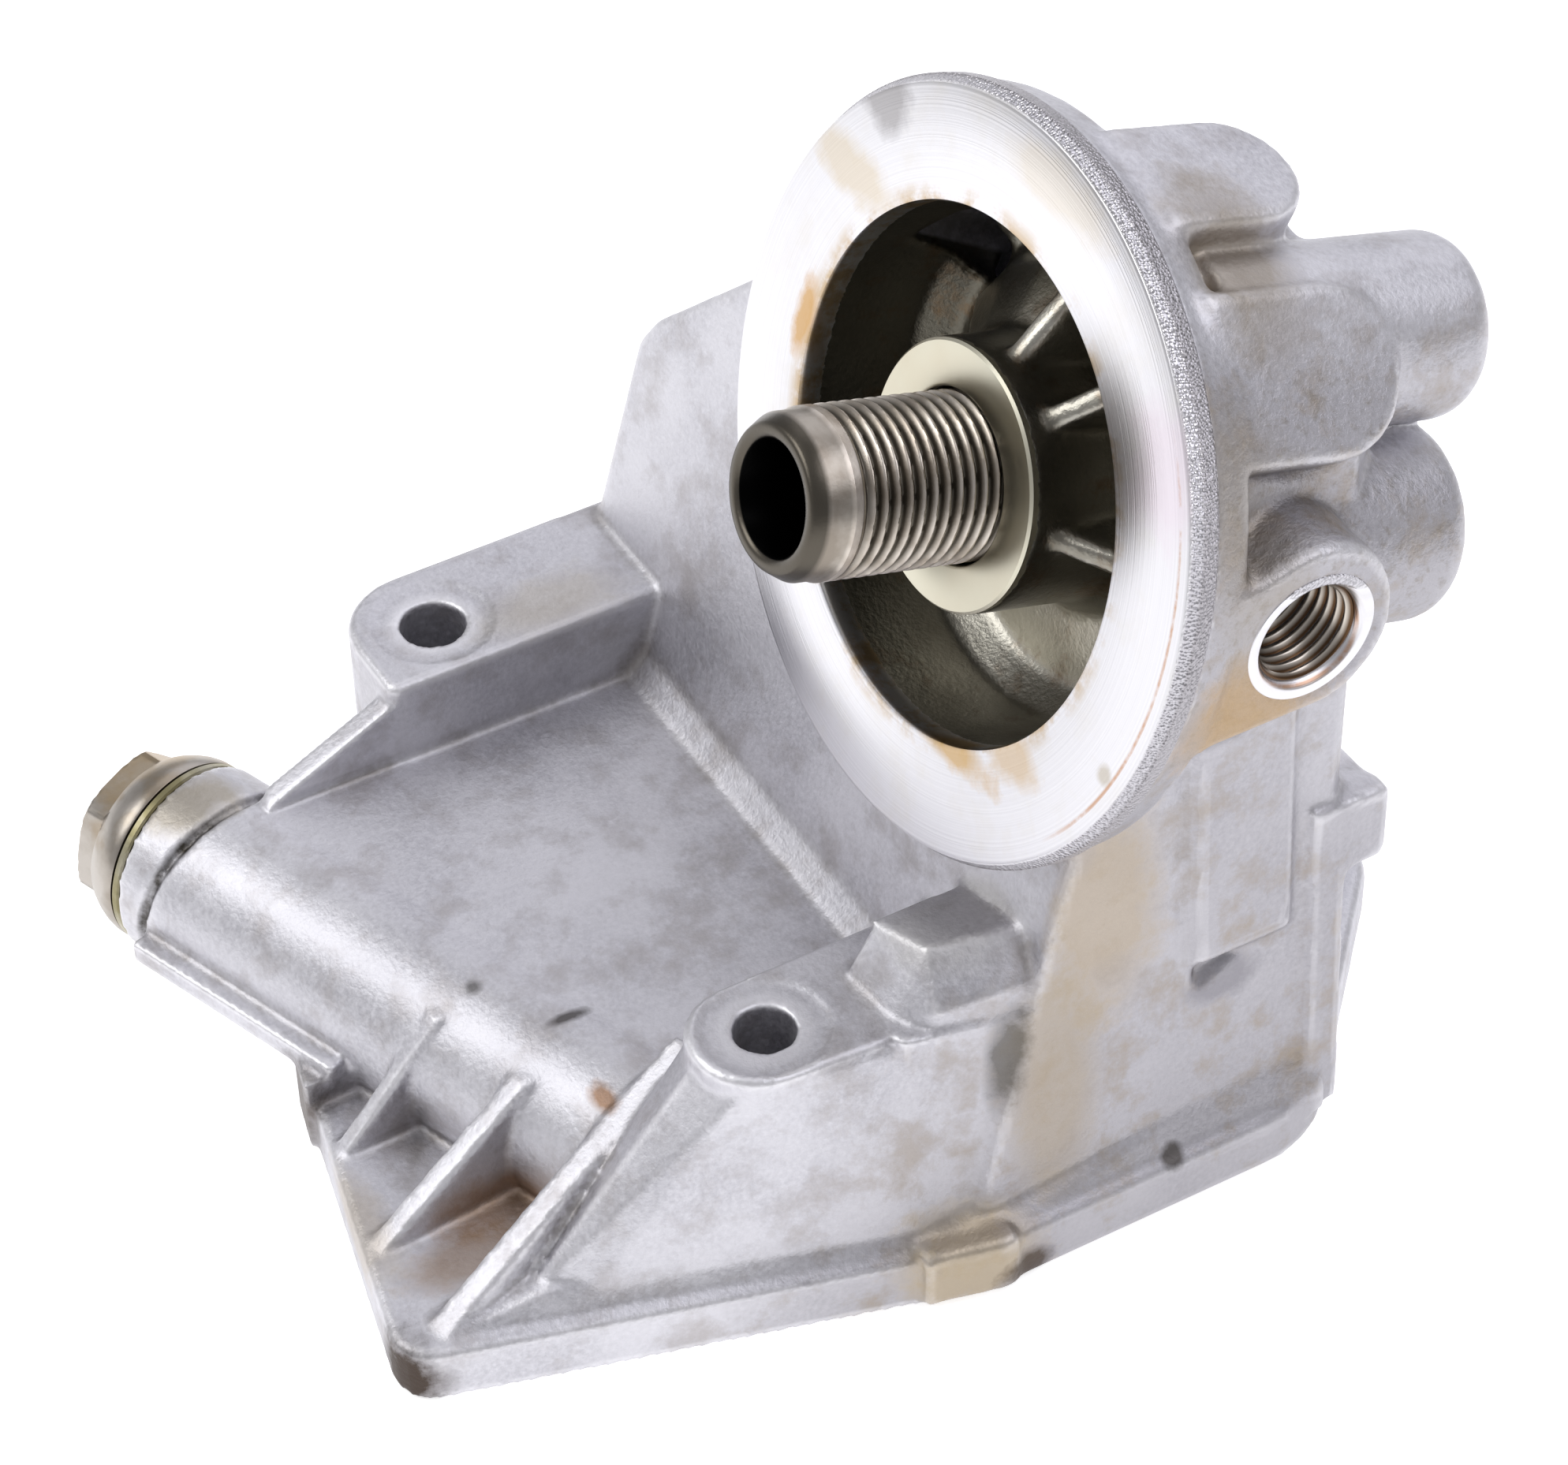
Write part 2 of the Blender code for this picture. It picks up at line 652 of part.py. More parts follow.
def make_valve_parts(group):
    """Sealing washer, piston and spring of the relief valve."""
    seat = VALVE_FACE + GAP
    washer = [
        (VALVE_BORE + 0.0002, seat + WASHER_THICKNESS),
        (VALVE_RADIUS - 0.0001, seat + WASHER_THICKNESS),
        (VALVE_RADIUS - 0.0001, seat),
        (VALVE_BORE + 0.0002, seat),
    ]
    turned("sealing_washer", washer, VALVE, group)
    nose = VALVE_SEAT + GAP
    skirt = nose + PISTON_LENGTH
    outer = VALVE_BORE - GAP
    piston = [
        (0.0, nose + 0.0040),
        (0.0056, nose + 0.0055),
        (0.0056, skirt),
        (outer - 0.0004, skirt),
        (outer, skirt - 0.0004),
        (outer, nose + 0.0030),
        (SEAT_BORE - 0.0010, nose),
        (0.0, nose),
    ]
    turned("relief_piston", piston, VALVE, group)
    make_spring(group, 0.0060 - GAP, nose + 0.0055 + GAP)


def make_spring(group, start, end):
    """A coil of round wire along the valve's axis."""
    first = start - SPRING_WIRE
    last = end + SPRING_WIRE
    steps = SPRING_TURNS * 14
    curve = bpy.data.curves.new("relief_spring", "CURVE")
    curve.dimensions = "3D"
    spline = curve.splines.new("POLY")
    spline.points.add(steps)
    for index, point in enumerate(spline.points):
        share = index / steps
        angle = share * SPRING_TURNS * math.tau
        across = SPRING_RADIUS * math.cos(angle)
        up = SPRING_RADIUS * math.sin(angle)
        point.co = (across, up, first + share * (last - first), 1)
    curve.bevel_depth = SPRING_WIRE
    curve.bevel_resolution = 1
    curve.use_fill_caps = True
    spring = bpy.data.objects.new("relief_spring", curve)
    spring.matrix_world = VALVE
    group.objects.link(spring)
    return spring


def make_gallery_plugs(group):
    """Socket plugs that close the two rear galleries."""
    for name, (across, up, _) in (("upper", UPPER_GALLERY), ("lower", LOWER_GALLERY)):
        place = HEAD @ Matrix.Translation((across, up, -GALLERY_DEPTH + 0.0010))
        outer = GALLERY_BORE - GAP
        plug = rod(f"gallery_plug_{name}", (0, 0, 0), (0, 0, 0.0090), outer, group, place, sides=32)
        cutters = new_collection(f"gallery_plug_{name}_cutters")
        socket = circle((0, 0), 0.0034, 0, math.tau, 6)[:6]
        prism(f"socket_{name}", socket, -0.002, 0.0050, cutters, place)
        combine(plug, "socket", "DIFFERENCE", cutters)


def paint(name, colour, metallic, roughness):
    """Gives a piece its own plain material."""
    material = bpy.data.materials.new(name)
    material.use_nodes = True
    surface = material.node_tree.nodes["Principled BSDF"]
    surface.inputs["Base Color"].default_value = (*colour, 1)
    surface.inputs["Metallic"].default_value = metallic
    surface.inputs["Roughness"].default_value = roughness
    bpy.data.objects[name].data.materials.append(material)


def main():
    clear_scene()
    group = new_collection("oil_filter_housing")
    make_casting(group)
    make_nipple(group)
    make_plug(group)
    make_valve_parts(group)
    make_gallery_plugs(group)
    paint("housing_casting", (0.55, 0.55, 0.58), 0.6, 0.5)
    paint("filter_nipple", (0.25, 0.24, 0.22), 0.9, 0.35)
    paint("valve_plug", (0.45, 0.42, 0.38), 0.8, 0.45)
    paint("sealing_washer", (0.35, 0.33, 0.25), 0.7, 0.5)
    paint("relief_piston", (0.40, 0.40, 0.41), 0.9, 0.3)
    paint("relief_spring", (0.30, 0.30, 0.31), 0.9, 0.35)
    paint("gallery_plug_upper", (0.33, 0.32, 0.31), 0.9, 0.4)
    paint("gallery_plug_lower", (0.33, 0.32, 0.31), 0.9, 0.4)


main()
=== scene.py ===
import json
import math

import bmesh
import bpy
import numpy as np
from mathutils import Euler, Matrix, Vector

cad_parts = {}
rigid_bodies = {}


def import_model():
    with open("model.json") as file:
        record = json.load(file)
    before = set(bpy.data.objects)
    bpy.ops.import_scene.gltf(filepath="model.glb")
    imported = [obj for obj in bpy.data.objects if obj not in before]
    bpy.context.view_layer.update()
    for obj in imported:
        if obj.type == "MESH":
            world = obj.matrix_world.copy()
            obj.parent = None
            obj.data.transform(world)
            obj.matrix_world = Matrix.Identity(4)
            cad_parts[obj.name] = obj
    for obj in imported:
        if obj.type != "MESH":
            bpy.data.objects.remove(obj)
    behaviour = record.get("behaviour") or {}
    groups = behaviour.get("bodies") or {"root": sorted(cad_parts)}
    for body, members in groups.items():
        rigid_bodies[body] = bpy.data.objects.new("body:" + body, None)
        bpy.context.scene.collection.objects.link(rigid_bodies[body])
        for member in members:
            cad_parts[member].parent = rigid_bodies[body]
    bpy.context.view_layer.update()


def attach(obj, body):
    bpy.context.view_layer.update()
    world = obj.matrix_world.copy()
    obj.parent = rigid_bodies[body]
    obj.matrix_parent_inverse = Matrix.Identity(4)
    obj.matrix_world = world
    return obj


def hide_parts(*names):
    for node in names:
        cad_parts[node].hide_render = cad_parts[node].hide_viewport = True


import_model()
scene = bpy.context.scene


# The studio: a white table under a large soft lamp on the filter's side, as the photograph was lit.
# The camera stands where the photograph was taken, in front of the filter's side and above it.

def linear(code):
    """An sRGB hex colour such as C0BEC8 as linear red, green, blue and 1, by the sRGB curve."""
    value = np.array([int(code[i:i + 2], 16) / 255 for i in (0, 2, 4)])
    value = np.where(value <= 0.04045, value / 12.92, ((value + 0.055) / 1.055) ** 2.4)
    return (*value.tolist(), 1.0)


def add(tree, kind, inputs=None, **settings):
    """Add one node. settings go on the node itself. inputs takes a socket's name, or its number among
    the sockets in use, to a value, to a socket or to a node, whose first output in use is linked."""
    made = tree.nodes.new(kind)
    for name, value in settings.items():
        setattr(made, name, value)
    used = [socket for socket in made.inputs if socket.enabled]
    for key, value in (inputs or {}).items():
        socket = used[key] if isinstance(key, int) else next(s for s in used if s.name == key)
        if isinstance(value, bpy.types.Node):
            value = next(output for output in value.outputs if output.enabled)
        if isinstance(value, bpy.types.NodeSocket):
            tree.links.new(value, socket)
        else:
            socket.default_value = value
    return made


camera = bpy.data.objects.new("camera", bpy.data.cameras.new("camera"))
camera.location = (0.3338404, -0.2066834, 0.4139493)
camera.rotation_euler = Euler([math.radians(a) for a in (47.3849, 0.9149, 60.0496)])
camera.data.lens = 108.65
camera.data.sensor_width = 36
camera.data.clip_start = 0.01
scene.collection.objects.link(camera)
scene.camera = camera

world = bpy.data.worlds.new("studio_air")
scene.world = world
world.use_nodes = True
tree = world.node_tree
tree.nodes.clear()
path = add(tree, "ShaderNodeLightPath")
seen = add(tree, "ShaderNodeBackground", {"Color": linear("FFFFFF"), "Strength": 1.0})
lighting = add(tree, "ShaderNodeBackground", {"Color": linear("F6F6F9"), "Strength": 0.40})
mixed = add(tree, "ShaderNodeMixShader", {0: path.outputs["Is Camera Ray"], 1: lighting, 2: seen})
add(tree, "ShaderNodeOutputWorld", {"Surface": mixed})


def lamp(name, place, target, size, power, tint):
    """A square soft lamp at a place, facing a target point."""
    made = bpy.data.objects.new(name, bpy.data.lights.new(name, "AREA"))
    made.data.size = size
    made.data.energy = power
    made.data.color = linear(tint)[:3]
    made.location = place
    made.rotation_euler = (Vector(target) - Vector(place)).to_track_quat("-Z", "Y").to_euler()
    scene.collection.objects.link(made)


lamp("window", (-0.34, -0.68, 0.80), (-0.02, 0, 0.04), 0.62, 4.4, "FFFFFF")
lamp("ceiling", (0.42, 0.38, 0.90), (0, 0, 0.05), 0.8, 3.8, "F8F8FF")
lamp("rear", (-0.60, 0.60, 0.85), (0, 0, 0.05), 1.2, 3.6, "F8F8FF")

bpy.ops.mesh.primitive_plane_add(size=6, location=(0, 0, -0.0004))
table = bpy.context.object
table.name = "table"
white = bpy.data.materials.new("white_table")
white.use_nodes = True
tree = white.node_tree
tree.nodes.clear()
path = add(tree, "ShaderNodeLightPath")
paper = add(tree, "ShaderNodeBsdfDiffuse", {"Color": linear("F4F4F4")})
glow = add(tree, "ShaderNodeEmission", {"Color": linear("FFFFFF"), "Strength": 0.62})
shown = add(tree, "ShaderNodeMath", {0: path.outputs["Is Camera Ray"], 1: path.outputs["Is Glossy Ray"]},
            operation="MAXIMUM")
both = add(tree, "ShaderNodeAddShader", {0: paper, 1: glow})
surface = add(tree, "ShaderNodeMixShader", {0: shown, 1: paper, 2: both})
add(tree, "ShaderNodeOutputMaterial", {"Surface": surface})
table.data.materials.append(white)


# The housing is one aluminium pressure die casting, so every edge and corner has a radius from the
# die and its skin is finely grained. The skin is drawn over the CAD solid and its edges are rounded.

HEAD_PLACE = (0, 0, 0.090)
HEAD_TURN = (math.pi / 2 - math.radians(16), 0, 0)
HEAD = Matrix.Translation(HEAD_PLACE) @ Matrix.Rotation(HEAD_TURN[0], 4, "X")
VALVE_PLACE = (-0.0643, -0.0673, 0.0124)
VALVE_TURN = (0, -math.pi / 2, math.radians(20))
VALVE = (
    Matrix.Translation(VALVE_PLACE)
    @ Matrix.Rotation(VALVE_TURN[2], 4, "Z")
    @ Matrix.Rotation(VALVE_TURN[1], 4, "Y")
)
RING_RADIUS = 0.043
FACE_RADIUS = 0.0422
RING_DEPTH = 0.0034
BOWL_RADIUS = 0.0297
BOSS_RADIUS = 0.0151
LOWER_GALLERY = (0.0239, 0.0051)
BOLTS = ((-0.0644, -0.0334), (0.0153, -0.0326))
BOLT_SEAT = 0.0356
VALVE_FACE = 0.0012
GROOVE_SEAT = 0.0044
GROOVE_SLANT = (0.18, 0.13, 1.0)
SKIN_STEP = 0.0005
SKIN_TRIANGLES = 190000
ROUNDING = 9
LIFT = 0.0003


def to_frame(matrix, points):
    """The points, an array of rows, in the local frame of a matrix."""
    inverse = np.array(matrix.inverted())
    return points @ inverse[:3, :3].T + inverse[:3, 3]


def from_frame(matrix, points):
    """Points of the local frame of a matrix, in the part's frame."""
    return points @ np.array(matrix)[:3, :3].T + np.array(matrix)[:3, 3]


def read_points(mesh):
    """The mesh's vertices as an array of rows."""
    flat = np.empty(len(mesh.vertices) * 3)
    mesh.vertices.foreach_get("co", flat)
    return flat.reshape(-1, 3)


def modified(mesh, kind, **settings):
    """The mesh as one modifier with these settings leaves it."""
    item = bpy.data.objects.new("item", mesh)
    scene.collection.objects.link(item)
    step = item.modifiers.new("step", kind)
    for name, value in settings.items():
        setattr(step, name, value)
    graph = bpy.context.evaluated_depsgraph_get()
    made = bpy.data.meshes.new_from_object(item.evaluated_get(graph))
    bpy.data.objects.remove(item)
    return made


def grid_mesh(name, points, sharp=35.0):
    """A closed surface from a grid of points, rows x columns x 3, that joins up both ways.
    Face (i, j) has the corners (i, j), (i+1, j), (i+1, j+1) and (i, j+1), each wrapped round, and
    a row whose points meet on the axis becomes one point. It points outwards where the rows run
    clockwise round the wall's section, seen with the radius to the right and the height up.
    The map named turning holds column and row as fractions of the whole."""
    rows, columns = points.shape[:2]
    i, j = np.meshgrid(np.arange(rows), np.arange(columns), indexing="ij")
    next_i, next_j = (i + 1) % rows, (j + 1) % columns
    corners = np.stack([
        i * columns + j, next_i * columns + j, next_i * columns + next_j, i * columns + next_j], axis=-1)
    mesh = bpy.data.meshes.new(name)
    mesh.vertices.add(rows * columns)
    mesh.vertices.foreach_set("co", points.reshape(-1).astype(np.float32))
    mesh.loops.add(corners.size)
    mesh.loops.foreach_set("vertex_index", corners.ravel().astype(np.int32))
    mesh.polygons.add(rows * columns)
    mesh.polygons.foreach_set("loop_start", np.arange(0, corners.size, 4, dtype=np.int32))
    mesh.update(calc_edges=True)
    turning = mesh.uv_layers.new(name="turning")
    u = np.stack([j, j, j + 1, j + 1], axis=-1) / columns
    v = np.stack([i, i + 1, i + 1, i], axis=-1) / rows
    turning.data.foreach_set("uv", np.stack([u, v], axis=-1).astype(np.float32).ravel())
    closed = bmesh.new()
    closed.from_mesh(mesh)
    bmesh.ops.remove_doubles(closed, verts=closed.verts, dist=1e-7)
    bmesh.ops.delete(closed, geom=[edge for edge in closed.edges if edge.is_wire], context="EDGES")
    closed.to_mesh(mesh)
    closed.free()
    mesh.polygons.foreach_set("use_smooth", np.ones(len(mesh.polygons), dtype=bool))
    mesh.set_sharp_from_angle(angle=math.radians(sharp))
    return mesh


def turn(profile, matrix, steps=192, first=0.0):
    """The grid of a turned shape: (r cos a, r sin a, z) for each (r, z) of a closed clockwise profile.
    A row with a third number is cut by a hexagon of that half width w: r is at most
    w / cos(a mod 60 - 30), in degrees."""
    radius, height, flat = np.array([(*row, 0.0)[:3] for row in profile]).T[:, :, None]
    angle = np.linspace(0, 2 * math.pi, steps, endpoint=False)[None, :]
    side = np.maximum(flat, 1e-6) / np.cos(angle % (math.pi / 3) - math.pi / 6)
    radius = np.where(flat > 0, np.minimum(radius, side), radius + 0 * angle)
    points = np.stack([
        radius * np.cos(angle + first), radius * np.sin(angle + first), height + 0 * angle], axis=-1)
    return from_frame(matrix, points)


# The forms that the skin has beyond the CAD solid have their sizes and points in mm
DISC_DEPTH = 8.0
BODY_RADIUS = 36.5
BODY_DEPTH = 26.0
GALLERY_BOSS = 11.2
WALL_AT_BASE = 31.0
WALL_DRAFT = 0.055
PORT_SPOT = (41.0, 19.1, 89.2)
PORT_BOSS = 10.3
PORT = Matrix.Translation(Vector(PORT_SPOT) / 1000) @ Matrix.Rotation(math.pi / 2, 4, "Y")


def wall(height, out=0.0):
    """Where the drafted right wall of the pylon lies at a height, plus a distance outwards."""
    return WALL_AT_BASE - WALL_DRAFT * (height - 10) + out


def towards(start, end):
    """The frame at start, in mm, whose z axis points to end."""
    way = Vector(end) - Vector(start)
    return Matrix.Translation(Vector(start) / 1000) @ way.to_track_quat("Z", "Y").to_matrix().to_4x4()


def rod(start, end, radius, matrix=Matrix.Identity(4)):
    """A round bar from start to end, in mm of the matrix's frame."""
    length = (Vector(end) - Vector(start)).length / 1000
    radius = radius / 1000
    profile = [(0, length), (radius, length), (radius, 0), (0, 0)]
    return grid_mesh("rod", turn(profile, matrix @ towards(start, end), 48))


def turned(profile, matrix, steps=96):
    """A turned body from (radius, height) in mm."""
    return grid_mesh("turned", turn([(r / 1000, z / 1000) for r, z in profile], matrix, steps))


def hull(points, matrix=Matrix.Identity(4)):
    """The convex body round some points, in mm of the matrix's frame."""
    shape = bmesh.new()
    for point in points:
        shape.verts.new(matrix @ (Vector(point) / 1000))
    bmesh.ops.convex_hull(shape, input=shape.verts)
    loose = [vert for vert in shape.verts if not vert.link_faces]
    bmesh.ops.delete(shape, geom=loose, context="VERTS")
    bmesh.ops.recalc_face_normals(shape, faces=shape.faces)
    mesh = bpy.data.meshes.new("hull")
    shape.to_mesh(mesh)
    shape.free()
    return mesh


# What is taken off the CAD solid first: the draft of the right wall and the top of the shoulder
trims = [
    hull([(x, y, z) for z in (10.2, 95) for x in (wall(z), 40) for y in (-14, 45)]),
    hull([(x, y, z) for x in (6, 34) for y, z in ((-26, 36.2), (-6.75, 36.2), (-26, 54), (-1.65, 54))]),
]

# What is put on. A hull's points are given by the section that it has at each of its ends.
RING, FACE, BOWL, BOSS = (1000 * r for r in (RING_RADIUS, FACE_RADIUS, BOWL_RADIUS, BOSS_RADIUS))
port_rim = [(PORT_SPOT[1] + PORT_BOSS * math.cos(a), PORT_SPOT[2] + PORT_BOSS * math.sin(a))
            for a in np.radians(np.linspace(-78, 112, 17))] + [(9.5, 98.5), (6, 79)]
ear_edge = [(9, -37), (15, -41.2), (21.5, -38.5), (24, -30), (25.8, -10)]
flange_edge = [(10, -60), (14.5, -67), (18.8, -60), (30.6, -20), (31, -10)]
forms = [
    # The head's disc with its body behind it, the lower gallery's boss, and the port's boss with its web
    turned([(0, 0), (FACE, 0), (RING, -1.2), (RING, -3), (RING - 0.4, -3.6), (RING - 1.1, -DISC_DEPTH),
            (BODY_RADIUS, -DISC_DEPTH - 2), (BODY_RADIUS - 2.5, -BODY_DEPTH), (0, -BODY_DEPTH)], HEAD),
    turned([(0, -10), (GALLERY_BOSS, -10), (GALLERY_BOSS, -42), (GALLERY_BOSS - 0.6, -43.4),
            (GALLERY_BOSS - 2, -44), (0, -44)], HEAD @ Matrix.Translation((*LOWER_GALLERY, 0))),
    hull([(x, y, z) for x in (24, PORT_SPOT[0]) for y, z in port_rim]),
    # The lug on the skirt, the lug at the rear and the strip below it
    hull([(x, y, z) for x, y in ((26.5, -22.8), (28, -13)) for z in (2, 9.8)]
         + [(x, y, z) for x, y in ((33.6, -22.4), (36, -12.4)) for z in (0.5, 7.8)]),
    hull([(x, y, z) for x, y in ((20, 30), (30.4, 30)) for z in (38.2, 49.5)]
         + [(x, 41.2, z) for x in (25.8, 29) for z in (38.2, 47.8)]),
    hull([(x, y, z) for z, shift in ((48, 0), (13, 1.4), (4, 2.6))
          for x, y in ((24, 30), (24, 35.6), (29.9 + shift, 30.4), (29.9 + shift, 34.8))]),
    # The fillets along the right wall's foot, on the skirt's front and where the tray meets the pylon
    hull([(x, 32, z) for x, z in ((25, 4), (29.6, 15), (33.8, 7.1), (33.8, 4))]
         + [(x, -15, z) for x, z in ((25, 4), (29, 10.8), (33.6, 7.1), (33.6, 4))]),
    hull([(x, y, z) for x, y in ((8, -60), (25, -12)) for z in (4, 11)]
         + [(17, -62, 10.6), (30, -15, 11)]
         + [(x, y, z) for x, y in ((14.9, -75.8), (33.6, -15)) for z in (4, 7.1)]),
    hull([(x, y, z) for x in (-56, 11) for y, z in ((-13.4, 23.4), (0, 23.4), (0, 27.2), (-9.5, 27.2))]),
    # The drafted wall from the right ear down to the flange, and the shoulder between ear and pylon
    hull([(x, y, 34.5) for x, y in ear_edge] + [(x, y, 5.2) for x, y in flange_edge] + [(9, -37, 5)]),
    hull([(13, -21.6, 35), (12.5, -17, 42), (15.5, -16, 42.4), (20.5, -15, 43.6), (23.6, -4.8, 44.6),
          (23.6, 4, 44.6), (12.5, 4, 42), (21.5, -20.3, 36), (25.6, -16.5, 38.5), (27.6, -9, 40),
          (27.8, 4, 40), (31.3, -8, 6), (31.4, 4, 6), (29, -19, 6), (26.2, -23.5, 6), (13, -23.5, 6)]),
    # The raised panel on the right wall, and the valve's collar
    hull([(wall(z, out), y, z) for out, less in ((-2, 0), (1.1, 0.6))
          for y in (14 + less, 27.8 - less) for z in (33.5 + less, 85)]),
    turned([(0, 0.6), (12.4, 0.6), (12.4, -6), (0, -6)], VALVE, 64),
]
# The three gussets, which run down from the tray's rim, bend over the barrel and end on the flange
for top, bend, foot, half in (
    ((-17.2, -50, 24.8), (-17, -58.5, 22.5), (-16.5, -72.2, 7.2), 1.1),
    ((-4.2, -46, 24.8), (-3.4, -54.5, 22), (-1, -75.5, 7.2), 1.4),
    ((6.6, -38, 29), (10.2, -56, 19), (13.8, -75.5, 7), 1.6),
):
    top, bend, foot = Vector(top), Vector(bend), Vector(foot)
    side = (foot - top).cross(Vector((0, 0, 1))).normalized() * half
    corners = [point + side * sign for point in (top, bend, foot) for sign in (1, -1)]
    corners += [Vector((x, y, 4.5)) + side * sign
                for x, y in ((top.x, top.y + 4), (foot.x, foot.y)) for sign in (1.4, -1.4)]
    forms.append(hull(corners))

# What is hollowed out of the CAD solid and of each form
slant = Vector(GROOVE_SLANT).to_track_quat("Z", "Y").to_matrix().to_4x4()
gallery = [1000 * v for v in LOWER_GALLERY]
bolt = [1000 * v for v in BOLTS[1]]
hollows = [
    # The bowl round its boss, the nipple's hole, the window with its passage down, and the lower gallery
    turned([(0, 2), (BOWL, 2), (BOWL - 0.6, -14), (BOWL - 4, -18), (BOSS + 2, -18), (BOSS, -14),
            (BOSS, -0.3), (0, -0.3)], HEAD @ Matrix.Rotation(0.03, 4, "Z")),
    rod((0, 0, 1), (0, 0, -15.8), 9.8, HEAD),
    rod((-25, 16.8, -9.8), (-25.6, 8.2, -27.5), 3.7, HEAD),
    rod((-25.6, 8.2, -25.8), (-33, -24, -26.5), 4.1, HEAD),
    rod((*gallery, -45), (*gallery, -23.5), 6.2, HEAD),
    # The side port with its seat, and the right bolt's hole with its seat
    turned([(0, 1), (8.3, 1), (8.3, -0.3), (6.7, -0.3), (6, -1), (6, -10), (1.8, -11.5), (1.8, -17),
            (0, -17)], PORT),
    rod((*bolt, -2), (*bolt, 40), 3.6),
    rod((*bolt, 1000 * BOLT_SEAT), (*bolt, 46), 7.6),
    # The groove beside the raised panel, the pocket below it, and the chamber in the right side
    hull([(wall(z, out), 13 + side * half, z) for z in (25, 80)
          for out, half in ((-0.8, 0.3), (3, 0.7)) for side in (1, -1)]),
    hull([(wall(z, out), y, z) for y, z, out in (
        (14.2, 33.3, 3), (25, 33.3, 3), (14.2, 26.2, 3), (15.2, 33.3, -2), (21.5, 33.3, -1.6),
        (15.2, 30, -1.2))]),
    hull([(x, y, -2) for x, y in ((11, -11), (26, -11), (26, 27), (11, 27))]
         + [(x, y, 60) for x, y in ((12, 6), (25, 6), (25, 26), (12, 26))]),
    # The valve's face and bore, and the slanted groove behind its collar
    rod((0, 0, 5), (0, 0, 1000 * VALVE_FACE), 15, VALVE),
    rod((0, 0, 5), (0, 0, -46), 8, VALVE),
    turned([(11.5, 0.5), (14.4, 1.2), (14.4, -1.2), (11.5, -0.5)],
           VALVE @ Matrix.Translation((0, 0, -GROOVE_SEAT)) @ slant, 64),
]

# Ribs and a ramp that brace the boss inside the bowl
ribs = [
    hull([(radius, side * 1.2, depth) for radius, depth in ((14.8, -3), (20.5, -8.5), (30, -12))
          for side in (-1, 1)] + [(radius, side * 2.3, -18.2) for radius in (14.8, 30) for side in (-1, 1)],
         HEAD @ Matrix.Rotation(math.radians(turned_by), 4, "Z"))
    for turned_by in (88, 55, 5)
]
ribs.append(hull([(radius * math.cos(a), radius * math.sin(a), depth)
                  for a in np.radians((100, 120, 140, 160))
                  for radius, depth in ((14.8, -9), (22.5, -14.5), (24.5, -18.2))], HEAD))


def cut(mesh, tools):
    """The mesh with the volumes of the tools taken out of it."""
    group = bpy.data.collections.new("tools")
    scene.collection.children.link(group)
    for tool in tools:
        group.objects.link(bpy.data.objects.new("tool", tool))
    made = modified(
        mesh, "BOOLEAN", operation="DIFFERENCE", solver="EXACT", operand_type="COLLECTION", collection=group)
    for used in list(group.objects):
        bpy.data.objects.remove(used)
    bpy.data.collections.remove(group)
    return made


def relax(points, edges, weight, turns):
    """Move each point half way to the mean of its neighbours, as often as turns says.
    weight is how far each point follows: p becomes p + weight * 0.5 * (mean - p)."""
    first, second = edges[:, 0], edges[:, 1]
    count = np.bincount(edges.ravel(), minlength=len(points))[:, None]
    for _ in range(turns):
        total = np.stack([
            np.bincount(first, points[second, axis], len(points))
            + np.bincount(second, points[first, axis], len(points))
            for axis in range(3)
        ], axis=1)
        points = points + weight[:, None] * 0.5 * (total / count - points)
    return points


def cell_means(points, values, size):
    """The mean of the values in each cube of a grid, as a look-up for other points."""
    low = points.min(axis=0) - size
    shape = np.ceil((points.max(axis=0) - low) / size).astype(int) + 2
    def index(at):
        spot = np.clip(((at - low) / size).astype(int), 0, shape - 1)
        return (spot[:, 0] * shape[1] + spot[:, 1]) * shape[2] + spot[:, 2]
    total = np.bincount(index(points), values, int(shape.prod()))
    count = np.bincount(index(points), minlength=int(shape.prod()))
    mean = total / np.maximum(count, 1)
    return lambda at: mean[index(at)]


def new_piece(name, mesh, material):
    """Put a mesh in the scene as a piece with one material."""
    made = bpy.data.objects.new(name, mesh)
    scene.collection.objects.link(made)
    mesh.materials.clear()
    mesh.materials.append(material)
    return made


def make_way(points):
    """Pull the skin back under the faced ring, which is a piece of its own: local z is at most -LIFT
    outside the bowl, and the radius at most that of the ring less LIFT as deep as the ring reaches."""
    local = to_frame(HEAD, points)
    radius = np.hypot(local[:, 0], local[:, 1])
    outside = (radius > BOWL_RADIUS - 0.0004) & (radius < RING_RADIUS + 0.001) & (local[:, 2] > -RING_DEPTH)
    over = np.minimum(RING_RADIUS - LIFT, radius) / radius
    local[outside, :2] *= over[outside, None]
    top = -LIFT - np.maximum(np.hypot(local[:, 0], local[:, 1]) - FACE_RADIUS + 0.0004, 0) * 1.5
    local[outside, 2] = np.minimum(local[outside, 2], top[outside])
    return from_frame(HEAD, local)


